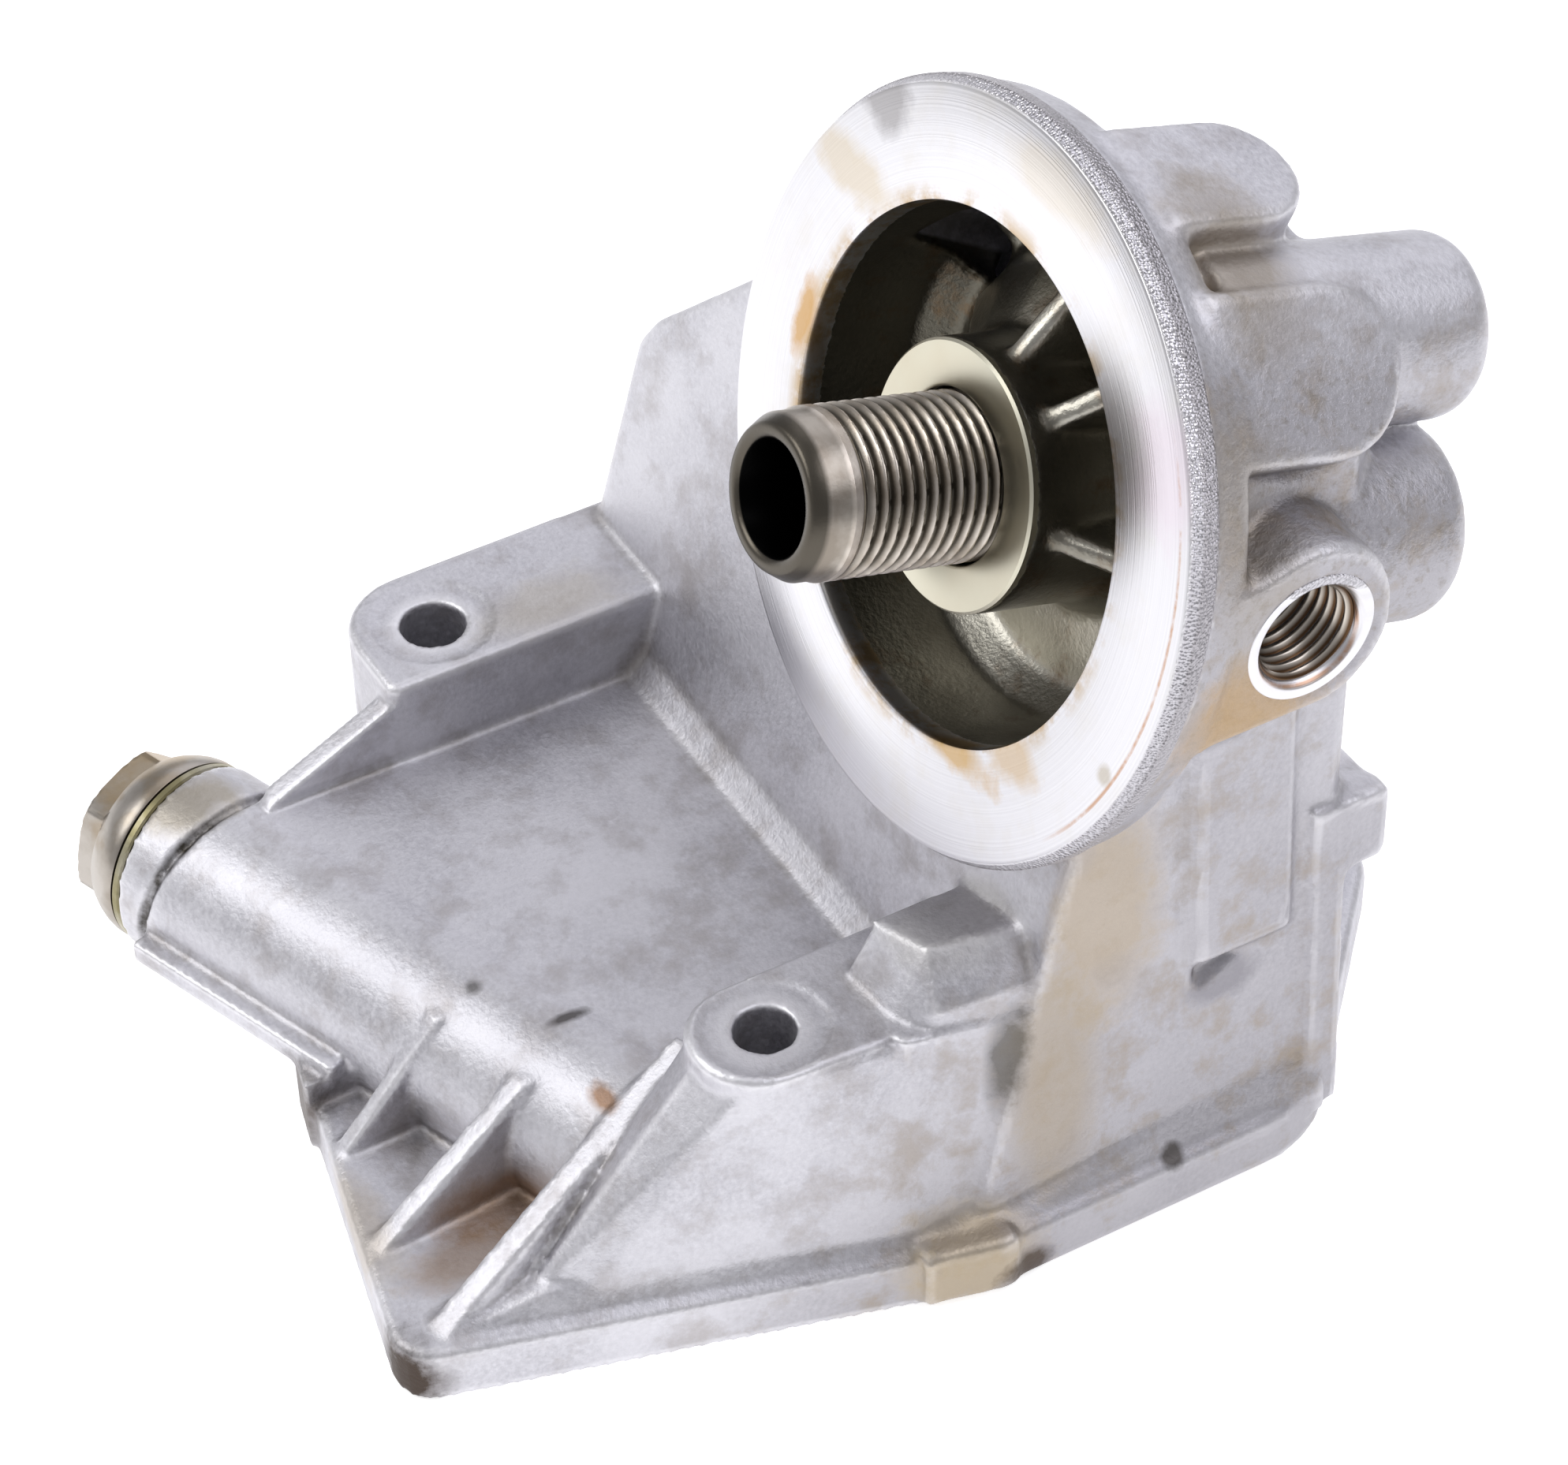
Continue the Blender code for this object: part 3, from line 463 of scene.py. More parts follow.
def cast_skin():
    """The casting's skin: the CAD solid and the forms in even steps, which join where they overlap,
    relaxed so that the edges are round.
    Two attributes follow from it: edge is how far relaxing moved a point inwards, and hollow is
    how deep it lies in a corner, from a second and longer relaxing."""
    solid = bpy.data.objects["housing_casting"].data.copy()
    merged = bmesh.new()
    merged.from_mesh(solid)
    bmesh.ops.remove_doubles(merged, verts=merged.verts, dist=1e-6)
    merged.to_mesh(solid)
    merged.free()
    whole = bmesh.new()
    for mesh in [cut(solid, trims + hollows)] + [cut(form, hollows) for form in forms] + ribs:
        whole.from_mesh(mesh)
    whole.to_mesh(solid)
    whole.free()
    mesh = modified(solid, "REMESH", mode="VOXEL", voxel_size=SKIN_STEP)
    start = read_points(mesh)
    edges = np.empty(len(mesh.edges) * 2, dtype=np.int64)
    mesh.edges.foreach_get("vertices", edges)
    edges = edges.reshape(-1, 2)
    local = to_frame(HEAD, start)
    radius = np.hypot(local[:, 0], local[:, 1])
    on_ring = (local[:, 2] > -0.0045) & (radius > BOWL_RADIUS - 0.001)
    weight = np.where(on_ring, 0.25, 1.0)
    points = make_way(relax(start, edges, weight, ROUNDING))
    mesh.vertices.foreach_set("co", points.ravel())
    mesh.update()
    normals = np.empty(len(points) * 3)
    mesh.vertices.foreach_get("normal", normals)
    normals = normals.reshape(-1, 3)
    near = relax(points, edges, np.ones(len(points)), 6)
    far = relax(near, edges, np.ones(len(points)), 40)
    edge = cell_means(points, ((points - near) * normals).sum(axis=1), 0.0008)
    hollow = cell_means(points, ((far - points) * normals).sum(axis=1), 0.0010)
    final = modified(mesh, "DECIMATE", ratio=SKIN_TRIANGLES / (2 * len(mesh.polygons)))
    at = read_points(final)
    for name, field, unit in (("edge", edge, 0.0001), ("hollow", hollow, 0.0005)):
        layer = final.attributes.new(name, "FLOAT", "POINT")
        layer.data.foreach_set("value", (field(at) / unit).astype(np.float32))
    final.polygons.foreach_set("use_smooth", np.ones(len(final.polygons), dtype=bool))
    return final


def new_material(name):
    """A material with an empty node tree."""
    made = bpy.data.materials.new(name)
    made.use_nodes = True
    made.node_tree.nodes.clear()
    return made


def own_frame(tree, place, location, rotation):
    """The place in the frame that has a location and a rotation, and its distance from the z axis there."""
    local = add(tree, "ShaderNodeMapping", {
        "Vector": place, "Location": location, "Rotation": rotation}, vector_type="TEXTURE")
    flat = add(tree, "ShaderNodeVectorMath", {0: local, 1: (1, 1, 0)}, operation="MULTIPLY")
    return local, add(tree, "ShaderNodeVectorMath", {0: flat}, operation="LENGTH").outputs["Value"]


def stained(tree, place, ragged, tone, marks):
    """The tone with each mark laid over it. A mark has its centre, its reach along X, Y and Z in mm,
    a colour and a strength, and fades out from 0.7 to 1.5 of its reach with a ragged rim."""
    for centre, reach, colour, strength in marks:
        centre, reach = np.array(centre) / 1000, np.array(reach) / 1000
        scaled = add(tree, "ShaderNodeVectorMath", {0: place, 1: tuple(1 / reach), 2: tuple(-centre / reach)},
                     operation="MULTIPLY_ADD")
        far = add(tree, "ShaderNodeVectorMath", {0: scaled}, operation="LENGTH")
        uneven = add(tree, "ShaderNodeMath", {0: ragged, 1: 2.4, 2: far}, operation="MULTIPLY_ADD")
        laid = add(tree, "ShaderNodeMapRange", {
            "Value": uneven, "From Min": 2.7, "From Max": 1.9, "To Max": strength})
        tone = add(tree, "ShaderNodeMix", {"Factor": laid, "A": tone, "B": linear(colour)}, data_type="RGBA")
    return tone


# Die-cast aluminium alloy, bare and aged: a pale lavender grey with a fine sandy grain, brighter on edges
# where they are rubbed and where a highlight is painted, tan where old oil and dust have settled, darker in
# corners from grime and painted shade, with painted shade on the right side, in a crevice, in a pocket and on
# the left arm's side, and dark olive inside the oily bowl.
cast = new_material("bare_die_cast_aluminium")
tree = cast.node_tree
place = add(tree, "ShaderNodeTexCoord").outputs["Object"]
axes = add(tree, "ShaderNodeSeparateXYZ", {0: place})
broad = add(tree, "ShaderNodeTexNoise", {"Vector": place, "Scale": 55.0, "Detail": 3.0})
patch = add(tree, "ShaderNodeTexNoise", {"Vector": place, "Scale": 130.0, "Detail": 6.0, "Roughness": 0.68})
grain = add(tree, "ShaderNodeTexNoise", {"Vector": place, "Scale": 1500.0, "Detail": 3.0, "Roughness": 0.6})
sand = add(tree, "ShaderNodeTexNoise", {"Vector": place, "Scale": 700.0, "Detail": 4.0, "Roughness": 0.7})
edge = add(tree, "ShaderNodeAttribute", attribute_name="edge").outputs["Fac"]
hollow = add(tree, "ShaderNodeAttribute", attribute_name="hollow").outputs["Fac"]

# The head's own directions are across, up and out of the ring's face
head, head_radius = own_frame(tree, place, HEAD_PLACE, HEAD_TURN)
head_axes = add(tree, "ShaderNodeSeparateXYZ", {0: head})

light_patch = add(tree, "ShaderNodeMapRange", {"Value": broad, "From Min": 0.35, "From Max": 0.65})
tone = add(tree, "ShaderNodeMix", {"Factor": light_patch, "A": linear("BAB9BF"), "B": linear("D1D0D5")},
           data_type="RGBA")
speck = add(tree, "ShaderNodeMapRange", {"Value": grain, "From Min": 0.3, "From Max": 0.75, "To Max": 0.8})
tone = add(tree, "ShaderNodeMix", {"Factor": speck, "A": tone, "B": linear("DFDEE3")}, data_type="RGBA")
mottle = add(tree, "ShaderNodeMapRange", {"Value": patch, "From Min": 0.48, "From Max": 0.66, "To Max": 0.35})
tone = add(tree, "ShaderNodeMix", {"Factor": mottle, "A": tone, "B": linear("9D9A9F")}, data_type="RGBA")

# Dust and old oil cling to the sandy skin of the head and to the right wall, and the whole right side is
# painted a darker grey as shade
right = add(tree, "ShaderNodeMapRange", {"Value": axes.outputs["X"], "From Min": 0.024, "From Max": 0.031})
behind = add(tree, "ShaderNodeMapRange", {
    "Value": head_axes.outputs["Z"], "From Min": -0.0032, "From Max": -0.0042})
aloft = add(tree, "ShaderNodeMapRange", {"Value": axes.outputs["Z"], "From Min": 0.070, "From Max": 0.082})
sandy = add(tree, "ShaderNodeMath", {0: behind, 1: aloft}, operation="MULTIPLY")
sandy = add(tree, "ShaderNodeMath", {0: sandy, 1: right}, operation="MULTIPLY")
dusty = add(tree, "ShaderNodeMath", {0: right, 1: 0.55, 2: 0.18}, operation="MULTIPLY_ADD")
# Painted shade: the whole right side is mixed evenly towards a darker grey
painted_shade_right = add(tree, "ShaderNodeMath", {0: right, 1: 0.50}, operation="MULTIPLY")
tone = add(tree, "ShaderNodeMix", {"Factor": painted_shade_right, "A": tone, "B": linear("8E8A8E")}, data_type="RGBA")
settled = add(tree, "ShaderNodeMapRange", {"Value": patch, "From Min": 0.50, "From Max": 0.70})
settled = add(tree, "ShaderNodeMath", {0: settled, 1: dusty}, operation="MULTIPLY")
tone = add(tree, "ShaderNodeMix", {"Factor": settled, "A": tone, "B": linear("A99C8B")}, data_type="RGBA")
pitted = add(tree, "ShaderNodeMapRange", {"Value": sand, "From Min": 0.52, "From Max": 0.68, "To Max": 0.45})
pitted = add(tree, "ShaderNodeMath", {0: pitted, 1: sandy}, operation="MULTIPLY")
tone = add(tree, "ShaderNodeMix", {"Factor": pitted, "A": tone, "B": linear("8B8378")}, data_type="RGBA")

# Edges are lighter, partly rubbed wear and partly painted highlight
rubbed_and_highlit = add(tree, "ShaderNodeMapRange", {"Value": edge, "From Min": 0.25, "From Max": 1.3, "To Max": 0.65})
tone = add(tree, "ShaderNodeMix", {"Factor": rubbed_and_highlit, "A": tone, "B": linear("F1F0F3")}, data_type="RGBA")
# Deep corners are darker and browner in patches, partly settled grime and partly painted shade
corner = add(tree, "ShaderNodeMapRange", {"Value": hollow, "From Min": 0.15, "From Max": 1.3, "To Max": 0.6})
uneven = add(tree, "ShaderNodeMapRange", {"Value": patch, "From Min": 0.32, "From Max": 0.6})
corner = add(tree, "ShaderNodeMath", {0: corner, 1: uneven}, operation="MULTIPLY")
tone = add(tree, "ShaderNodeMix", {"Factor": corner, "A": tone, "B": linear("7A7167")}, data_type="RGBA")

tone = stained(tree, place, patch, tone, (
    ((41, 11, 83), (4, 8, 6), "B79B74", 0.75),
    ((29.5, 3, 49), (3, 6, 14), "B4A58F", 0.70),
    ((30.5, -4, 25), (3, 5, 15), "AC9F8C", 0.65),
    ((34, -17, 6), (7, 7, 5), "B5A589", 0.75),
    ((35, -10, 2), (3, 3, 2.5), "4B3C2D", 0.85),
    ((18, -10, 43), (6, 8, 2.5), "BDB9AC", 0.25),
    # Painted shade: a dark grey strip in the crevice between the shoulder and the right wall
    ((28.4, -9, 29), (1.6, 2.4, 7), "5B574F", 0.75),
    ((14, -80, 3), (6, 5, 4), "3F3023", 0.95),
    ((0, -58, 8), (4, 7, 3), "9C7A54", 0.65),
    ((5.5, -66, 8), (3, 7, 3), "93744F", 0.55),
    ((5.3, -48, 23.6), (2, 1.4, 1.4), "8A6238", 0.80),
    ((-7, -46.4, 24.8), (0.8, 2.6, 1.5), "4C4846", 0.85),
    ((-17, -53, 24.5), (1, 1, 1), "6E6C6C", 0.80),
    ((-28, -71, 5), (5, 4, 5), "52463A", 0.80),
    ((17, 22, 119), (9, 6, 9), "93856F", 0.65),
    ((36, 12, 102), (6, 6, 14), "A1988B", 0.50),
    ((-62, -69, 24.6), (4, 6, 2), "A09478", 0.60),
    ((33.4, 10.5, 7.7), (1.2, 1.2, 1.2), "544F4A", 0.85),
    # Painted shade: a darker grey in the pocket under the raised panel
    ((30, 18, 30), (2, 4, 3), "77747B", 0.50),
    ((-6, -75, 7), (9, 3, 3), "B4A488", 0.40),
    ((-60, -20, 36), (4, 8, 2), "B2A78F", 0.35),
    # Painted shade: a darker grey over the side of the left arm
    ((-58.8, -21, 29.5), (2.5, 13, 3.6), "8C898F", 0.60),
))

# The groove behind the valve's collar is coloured nearly black, in patches
valve, valve_radius = own_frame(tree, place, VALVE_PLACE, VALVE_TURN)
past = add(tree, "ShaderNodeVectorMath", {0: valve, 1: GROOVE_SLANT}, operation="DOT_PRODUCT")
past = add(tree, "ShaderNodeMath", {0: past.outputs["Value"], 1: GROOVE_SEAT}, operation="ADD")
past = add(tree, "ShaderNodeMath", {0: past}, operation="ABSOLUTE")
in_groove = add(tree, "ShaderNodeMapRange", {"Value": past, "From Min": 0.0010, "From Max": 0.0005})
at_barrel = add(tree, "ShaderNodeMapRange", {"Value": valve_radius, "From Min": 0.0132, "From Max": 0.0124})
in_groove = add(tree, "ShaderNodeMath", {0: in_groove, 1: at_barrel}, operation="MULTIPLY")
in_groove = add(tree, "ShaderNodeMath", {0: in_groove, 1: uneven}, operation="MULTIPLY")
tone = add(tree, "ShaderNodeMix", {"Factor": in_groove, "A": tone, "B": linear("45413B")}, data_type="RGBA")

# Each bolt bears on a milled spot, a little brighter than the skin around it
for x, y in BOLTS:
    off = add(tree, "ShaderNodeVectorMath", {0: place, 1: (x, y, BOLT_SEAT)}, operation="SUBTRACT")
    squashed = add(tree, "ShaderNodeVectorMath", {0: off, 1: (1, 1, 8)}, operation="MULTIPLY")
    away = add(tree, "ShaderNodeVectorMath", {0: squashed}, operation="LENGTH").outputs["Value"]
    milled = add(tree, "ShaderNodeMapRange", {
        "Value": away, "From Min": 0.0062, "From Max": 0.0050, "To Max": 0.55})
    tone = add(tree, "ShaderNodeMix", {"Factor": milled, "A": tone, "B": linear("E9E8EC")}, data_type="RGBA")

# Inside the bowl the skin is wet with old oil: olive grey, brown in places and lighter on its edges, partly
# from wear and partly as painted highlight. Painted shade darkens its left wall and the foot of the boss
# nearly to black. The oil ends
# 24 mm behind the face, before the head's back.
within = add(tree, "ShaderNodeMapRange", {
    "Value": head_radius, "From Min": BOWL_RADIUS + 0.0006, "From Max": BOWL_RADIUS + 0.0002})
below = add(tree, "ShaderNodeMapRange", {
    "Value": head_axes.outputs["Z"], "From Min": -0.0004, "From Max": -0.0008})
above = add(tree, "ShaderNodeMapRange", {
    "Value": head_axes.outputs["Z"], "From Min": -0.0245, "From Max": -0.0235})
in_bowl = add(tree, "ShaderNodeMath", {0: within, 1: below}, operation="MULTIPLY")
in_bowl = add(tree, "ShaderNodeMath", {0: in_bowl, 1: above}, operation="MULTIPLY")
wet_patch = add(tree, "ShaderNodeMapRange", {"Value": broad, "From Min": 0.40, "From Max": 0.62})
oil_and_painted_light = add(tree, "ShaderNodeMix", {"Factor": wet_patch, "A": linear("88847A"), "B": linear("B3B0A6")},
           data_type="RGBA")
# Painted shade: the left wall of the bowl is darkened nearly to black
painted_shade_left = add(tree, "ShaderNodeMapRange", {
    "Value": head_axes.outputs["X"], "From Min": -0.002, "From Max": -0.024, "To Max": 0.75})
oil_and_painted_light = add(tree, "ShaderNodeMix", {"Factor": painted_shade_left, "A": oil_and_painted_light, "B": linear("57544A")}, data_type="RGBA")
# Painted shade: darker round the foot of the boss
painted_shade_at_boss = add(tree, "ShaderNodeMapRange", {
    "Value": head_radius, "From Min": BOSS_RADIUS + 0.0016, "From Max": BOSS_RADIUS + 0.0004, "To Max": 0.7})
oil_and_painted_light = add(tree, "ShaderNodeMix", {"Factor": painted_shade_at_boss, "A": oil_and_painted_light, "B": linear("5F5B51")}, data_type="RGBA")
brown = add(tree, "ShaderNodeMapRange", {"Value": patch, "From Min": 0.55, "From Max": 0.68, "To Max": 0.6})
oil_and_painted_light = add(tree, "ShaderNodeMix", {"Factor": brown, "A": oil_and_painted_light, "B": linear("6B5236")}, data_type="RGBA")
# Edges in the bowl are lighter, partly wear and partly painted highlight
worn_and_highlit = add(tree, "ShaderNodeMapRange", {"Value": edge, "From Min": 0.5, "From Max": 1.6, "To Max": 0.6})
oil_and_painted_light = add(tree, "ShaderNodeMix", {"Factor": worn_and_highlit, "A": oil_and_painted_light, "B": linear("C9C7BF")}, data_type="RGBA")
tone = add(tree, "ShaderNodeMix", {"Factor": in_bowl, "A": tone, "B": oil_and_painted_light}, data_type="RGBA")

# The oily skin is smoother, and the sandy skin of the head is the coarsest
rough = add(tree, "ShaderNodeMapRange", {"Value": grain, "To Min": 0.42, "To Max": 0.60})
rough = add(tree, "ShaderNodeMix", {"Factor": in_bowl, "A": rough, "B": 0.34})
swell = add(tree, "ShaderNodeMath", {0: patch, 1: 1.5, 2: grain}, operation="MULTIPLY_ADD")
sanded = add(tree, "ShaderNodeMath", {0: sandy, 1: 3.0}, operation="MULTIPLY")
height = add(tree, "ShaderNodeMath", {0: sand, 1: sanded, 2: swell}, operation="MULTIPLY_ADD")
bump = add(tree, "ShaderNodeBump", {"Height": height, "Strength": 0.35, "Distance": 0.0002})
skin_shader = add(tree, "ShaderNodeBsdfPrincipled", {
    "Base Color": tone, "Metallic": 1.0, "Roughness": rough, "Normal": bump})
add(tree, "ShaderNodeOutputMaterial", {"Surface": skin_shader})

casting = new_piece("casting_skin", cast_skin(), cast)
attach(casting, "housing")
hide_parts("housing_casting")


# The filter's sealing ring is faced on a lathe after casting, so it is flat and nearly white with
# fine concentric marks. Its outer edge has a hammered chamfer, and its inner edge is oil stained.

SEAL_MARK = 0.0406
ring_profile = [
    (BOWL_RADIUS - 0.0002, -0.0032), (BOWL_RADIUS - 0.0002, -0.0005), (BOWL_RADIUS, -0.0001),
    (BOWL_RADIUS + 0.0003, 0.0), (FACE_RADIUS - 0.0004, 0.0), (FACE_RADIUS - 0.0001, -0.0001),
    (FACE_RADIUS + 0.0001, -0.0003), (RING_RADIUS - 0.0002, -0.0012), (RING_RADIUS, -0.0014),
    (RING_RADIUS, -0.0029), (RING_RADIUS - 0.0003, -0.0033), (RING_RADIUS - 0.0020, -0.0035)]

# Freshly faced aluminium: nearly white, a streaky sheen along the turning marks, tan oil stains at the
# inner rim, a pinkish sheen painted on the right side, and a peened band of tiny glinting facets round the
# edge.
faced = new_material("lathe_faced_aluminium")
tree = faced.node_tree
place = add(tree, "ShaderNodeTexCoord").outputs["Object"]
head, radius = own_frame(tree, place, HEAD_PLACE, HEAD_TURN)
turns = add(tree, "ShaderNodeMath", {0: radius, 1: 4000.0}, operation="MULTIPLY")
marks = add(tree, "ShaderNodeTexNoise", {"W": turns, "Scale": 1.0, "Detail": 2.0}, noise_dimensions="1D")
stain = add(tree, "ShaderNodeTexNoise", {"Vector": place, "Scale": 130.0, "Detail": 6.0, "Roughness": 0.68})
facets = add(tree, "ShaderNodeTexVoronoi", {"Vector": place, "Scale": 2600.0})
fine = add(tree, "ShaderNodeTexNoise", {"Vector": place, "Scale": 1100.0, "Detail": 3.0})
tone = add(tree, "ShaderNodeMix", {"Factor": marks, "A": linear("D6D5D9"), "B": linear("E8E7EA")},
           data_type="RGBA")
smudge = add(tree, "ShaderNodeMapRange", {"Value": stain, "From Min": 0.50, "From Max": 0.68, "To Max": 0.3})
tone = add(tree, "ShaderNodeMix", {"Factor": smudge, "A": tone, "B": linear("D5D0C6")}, data_type="RGBA")
inner = add(tree, "ShaderNodeMapRange", {
    "Value": radius, "From Min": BOWL_RADIUS + 0.0022, "From Max": BOWL_RADIUS})
blotch = add(tree, "ShaderNodeMapRange", {"Value": stain, "From Min": 0.46, "From Max": 0.60, "To Max": 0.8})
inner = add(tree, "ShaderNodeMath", {0: inner, 1: blotch}, operation="MULTIPLY")
tone = add(tree, "ShaderNodeMix", {"Factor": inner, "A": tone, "B": linear("B89B6C")}, data_type="RGBA")
tone = stained(tree, place, stain, tone, (
    ((-31.1, 0.5, 91), (1.6, 1.6, 7), "C39A5E", 0.85),
    ((12, -7.3, 64.5), (7, 2, 1.8), "C8A469", 0.80),
    ((23, -5.8, 70), (4, 1.5, 2.6), "C9AA78", 0.60),
    ((-30, 6, 110), (7, 2, 2.6), "C9B690", 0.50),
    ((-27.5, 8.7, 120), (4.5, 2, 3), "A5A2A3", 0.80),
    ((4, 11, 126), (8, 3, 2.5), "D3C8B4", 0.50),
    # Painted sheen: a pale pinkish band on the ring's right side
    ((32, 7, 109), (5, 3, 8), "DDD0DA", 0.60),
    ((37.2, -3.6, 77.5), (1, 1, 1), "AFA48E", 0.60),
))

# A thin brown arc, left by the filter's seal, runs round the right side near the outer edge
arc = add(tree, "ShaderNodeMath", {0: radius, 1: SEAL_MARK}, operation="SUBTRACT")
arc = add(tree, "ShaderNodeMath", {0: arc}, operation="ABSOLUTE")
arc = add(tree, "ShaderNodeMapRange", {"Value": arc, "From Min": 0.0003, "From Max": 0.0001, "To Max": 0.7})
sideways = add(tree, "ShaderNodeSeparateXYZ", {0: head})
reach = add(tree, "ShaderNodeMapRange", {
    "Value": sideways.outputs["X"], "From Min": 0.031, "From Max": 0.036})
arc = add(tree, "ShaderNodeMath", {0: arc, 1: reach}, operation="MULTIPLY")
broken = add(tree, "ShaderNodeMapRange", {"Value": stain, "From Min": 0.38, "From Max": 0.52})
arc = add(tree, "ShaderNodeMath", {0: arc, 1: broken}, operation="MULTIPLY")
tone = add(tree, "ShaderNodeMix", {"Factor": arc, "A": tone, "B": linear("B98250")}, data_type="RGBA")

# The chamfer is peened, and the outside of the ring is duller
peened = add(tree, "ShaderNodeMapRange", {
    "Value": radius, "From Min": FACE_RADIUS - 0.0001, "From Max": FACE_RADIUS + 0.0001})
tone = add(tree, "ShaderNodeMix", {"Factor": peened, "A": tone, "B": linear("C6C4C9")}, data_type="RGBA")
dull = add(tree, "ShaderNodeMapRange", {
    "Value": radius, "From Min": RING_RADIUS - 0.0003, "From Max": RING_RADIUS - 0.0001})
tone = add(tree, "ShaderNodeMix", {"Factor": dull, "A": tone, "B": linear("AFACB0")}, data_type="RGBA")
ground = add(tree, "ShaderNodeMath", {0: marks, 1: 0.3}, operation="MULTIPLY")
hammered = add(tree, "ShaderNodeMath", {0: facets.outputs["Distance"], 1: 2.0, 2: fine},
               operation="MULTIPLY_ADD")
hammered = add(tree, "ShaderNodeMath", {0: hammered, 1: peened}, operation="MULTIPLY")
height = add(tree, "ShaderNodeMath", {0: hammered, 1: 3.0, 2: ground}, operation="MULTIPLY_ADD")
bump = add(tree, "ShaderNodeBump", {"Height": height, "Strength": 0.5, "Distance": 0.0001})
along = add(tree, "ShaderNodeTangent", direction_type="UV_MAP", uv_map="turning")
face_shader = add(tree, "ShaderNodeBsdfPrincipled", {
    "Base Color": tone, "Metallic": 1.0, "Roughness": 0.32, "Anisotropic": 0.6,
    "Tangent": along, "Normal": bump})
add(tree, "ShaderNodeOutputMaterial", {"Surface": face_shader})

ring = new_piece("faced_ring", grid_mesh("faced_ring", turn(ring_profile, HEAD, 256)), faced)
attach(ring, "housing")


# The boss in the bowl is faced too, and the nipple is screwed into it: a hollow steel stub with a
# rolled 3/4-16 thread, a plain turned lead at its mouth and an oily bore painted black as shade.

NIPPLE_RADIUS = 0.009525
NIPPLE_BORE = 0.00637
NIPPLE_TIP = 0.0228
NIPPLE_FOOT = 0.0155
NIPPLE_PITCH = 0.0254 / 16
THREAD_DEPTH = 0.00092
THREAD_END = 0.0172

# Faced aluminium that oil has tinted a pale greenish beige
tinted = new_material("oil_tinted_faced_aluminium")
tree = tinted.node_tree
place = add(tree, "ShaderNodeTexCoord").outputs["Object"]
cloud = add(tree, "ShaderNodeTexNoise", {"Vector": place, "Scale": 90.0, "Detail": 4.0})
tone = add(tree, "ShaderNodeMix", {"Factor": cloud, "A": linear("C9BFA9"), "B": linear("D9DACB")},
           data_type="RGBA")
bump = add(tree, "ShaderNodeBump", {"Height": cloud, "Strength": 0.1, "Distance": 0.0002})
along = add(tree, "ShaderNodeTangent", direction_type="UV_MAP", uv_map="turning")
boss_shader = add(tree, "ShaderNodeBsdfPrincipled", {
    "Base Color": tone, "Metallic": 1.0, "Roughness": 0.38, "Anisotropic": 0.4,
    "Tangent": along, "Normal": bump})
add(tree, "ShaderNodeOutputMaterial", {"Surface": boss_shader})

boss_profile = [
    (0.0098, -0.0016), (0.0098, -0.0002), (0.0101, 0.0), (BOSS_RADIUS - 0.0004, 0.0),
    (BOSS_RADIUS - 0.0001, -0.0003), (BOSS_RADIUS - 0.0001, -0.0012)]
boss_place = HEAD @ Matrix.Translation((0, 0, -0.00015))
boss = new_piece("faced_boss", grid_mesh("faced_boss", turn(boss_profile, boss_place, 128)), tinted)
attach(boss, "housing")


def threaded_nipple(steps=160, per_pitch=14):
    """The nipple's surface, rows along its wall and columns round it. On the outer wall the radius
    is crest - depth * wave, where wave is a rounded saw of z / pitch + a / 2 pi, and the depth
    fades out at the mouth's lead and at the foot."""
    angle = np.linspace(0, 2 * math.pi, steps, endpoint=False)
    rows = int((THREAD_END + 0.001 + NIPPLE_FOOT) / NIPPLE_PITCH * per_pitch)
    z = np.linspace(-NIPPLE_FOOT, THREAD_END + 0.001, rows)[:, None] + 0 * angle
    phase = (z / NIPPLE_PITCH + angle / (2 * math.pi)) % 1
    saw = 1 - np.abs(2 * phase - 1)
    wave = np.clip((saw - 0.12) / 0.76, 0, 1)
    fade = np.clip((THREAD_END - z) / 0.0012, 0, 1) * np.clip((z + NIPPLE_FOOT) / 0.0006, 0, 1)
    crest = NIPPLE_RADIUS - 0.0001
    outer = crest - THREAD_DEPTH * wave * fade
    lead = [(crest - 0.0003, THREAD_END + 0.0014), (crest - 0.0003, NIPPLE_TIP - 0.0019),
            (NIPPLE_RADIUS - 0.0013, NIPPLE_TIP - 0.0003), (NIPPLE_RADIUS - 0.0016, NIPPLE_TIP),
            (NIPPLE_BORE + 0.0005, NIPPLE_TIP), (NIPPLE_BORE, NIPPLE_TIP - 0.0005),
            (NIPPLE_BORE, -NIPPLE_FOOT)]
    radius = np.vstack([outer] + [np.full((1, steps), r) for r, _ in lead])
    height = np.vstack([z] + [np.full((1, steps), h) for _, h in lead])
    points = np.stack([radius * np.cos(angle), radius * np.sin(angle), height], axis=-1)
    return from_frame(HEAD, points[::-1])


# Rolled and oiled steel: bright on the thread's crests against roots darkened partly by oil and partly as
# painted shade, brown grey on the plain lead, and a bore painted black as shade.
steel = new_material("oiled_steel_with_painted_shade")
tree = steel.node_tree
place = add(tree, "ShaderNodeTexCoord").outputs["Object"]
cloud = add(tree, "ShaderNodeTexNoise", {"Vector": place, "Scale": 260.0, "Detail": 4.0})
fine = add(tree, "ShaderNodeTexNoise", {"Vector": place, "Scale": 2200.0, "Detail": 2.0})
radius = own_frame(tree, place, HEAD_PLACE, HEAD_TURN)[1]
shade = add(tree, "ShaderNodeMapRange", {"Value": cloud, "From Min": 0.38, "From Max": 0.62})
tone = add(tree, "ShaderNodeMix", {"Factor": shade, "A": linear("A89E92"), "B": linear("CBC3B9")},
           data_type="RGBA")
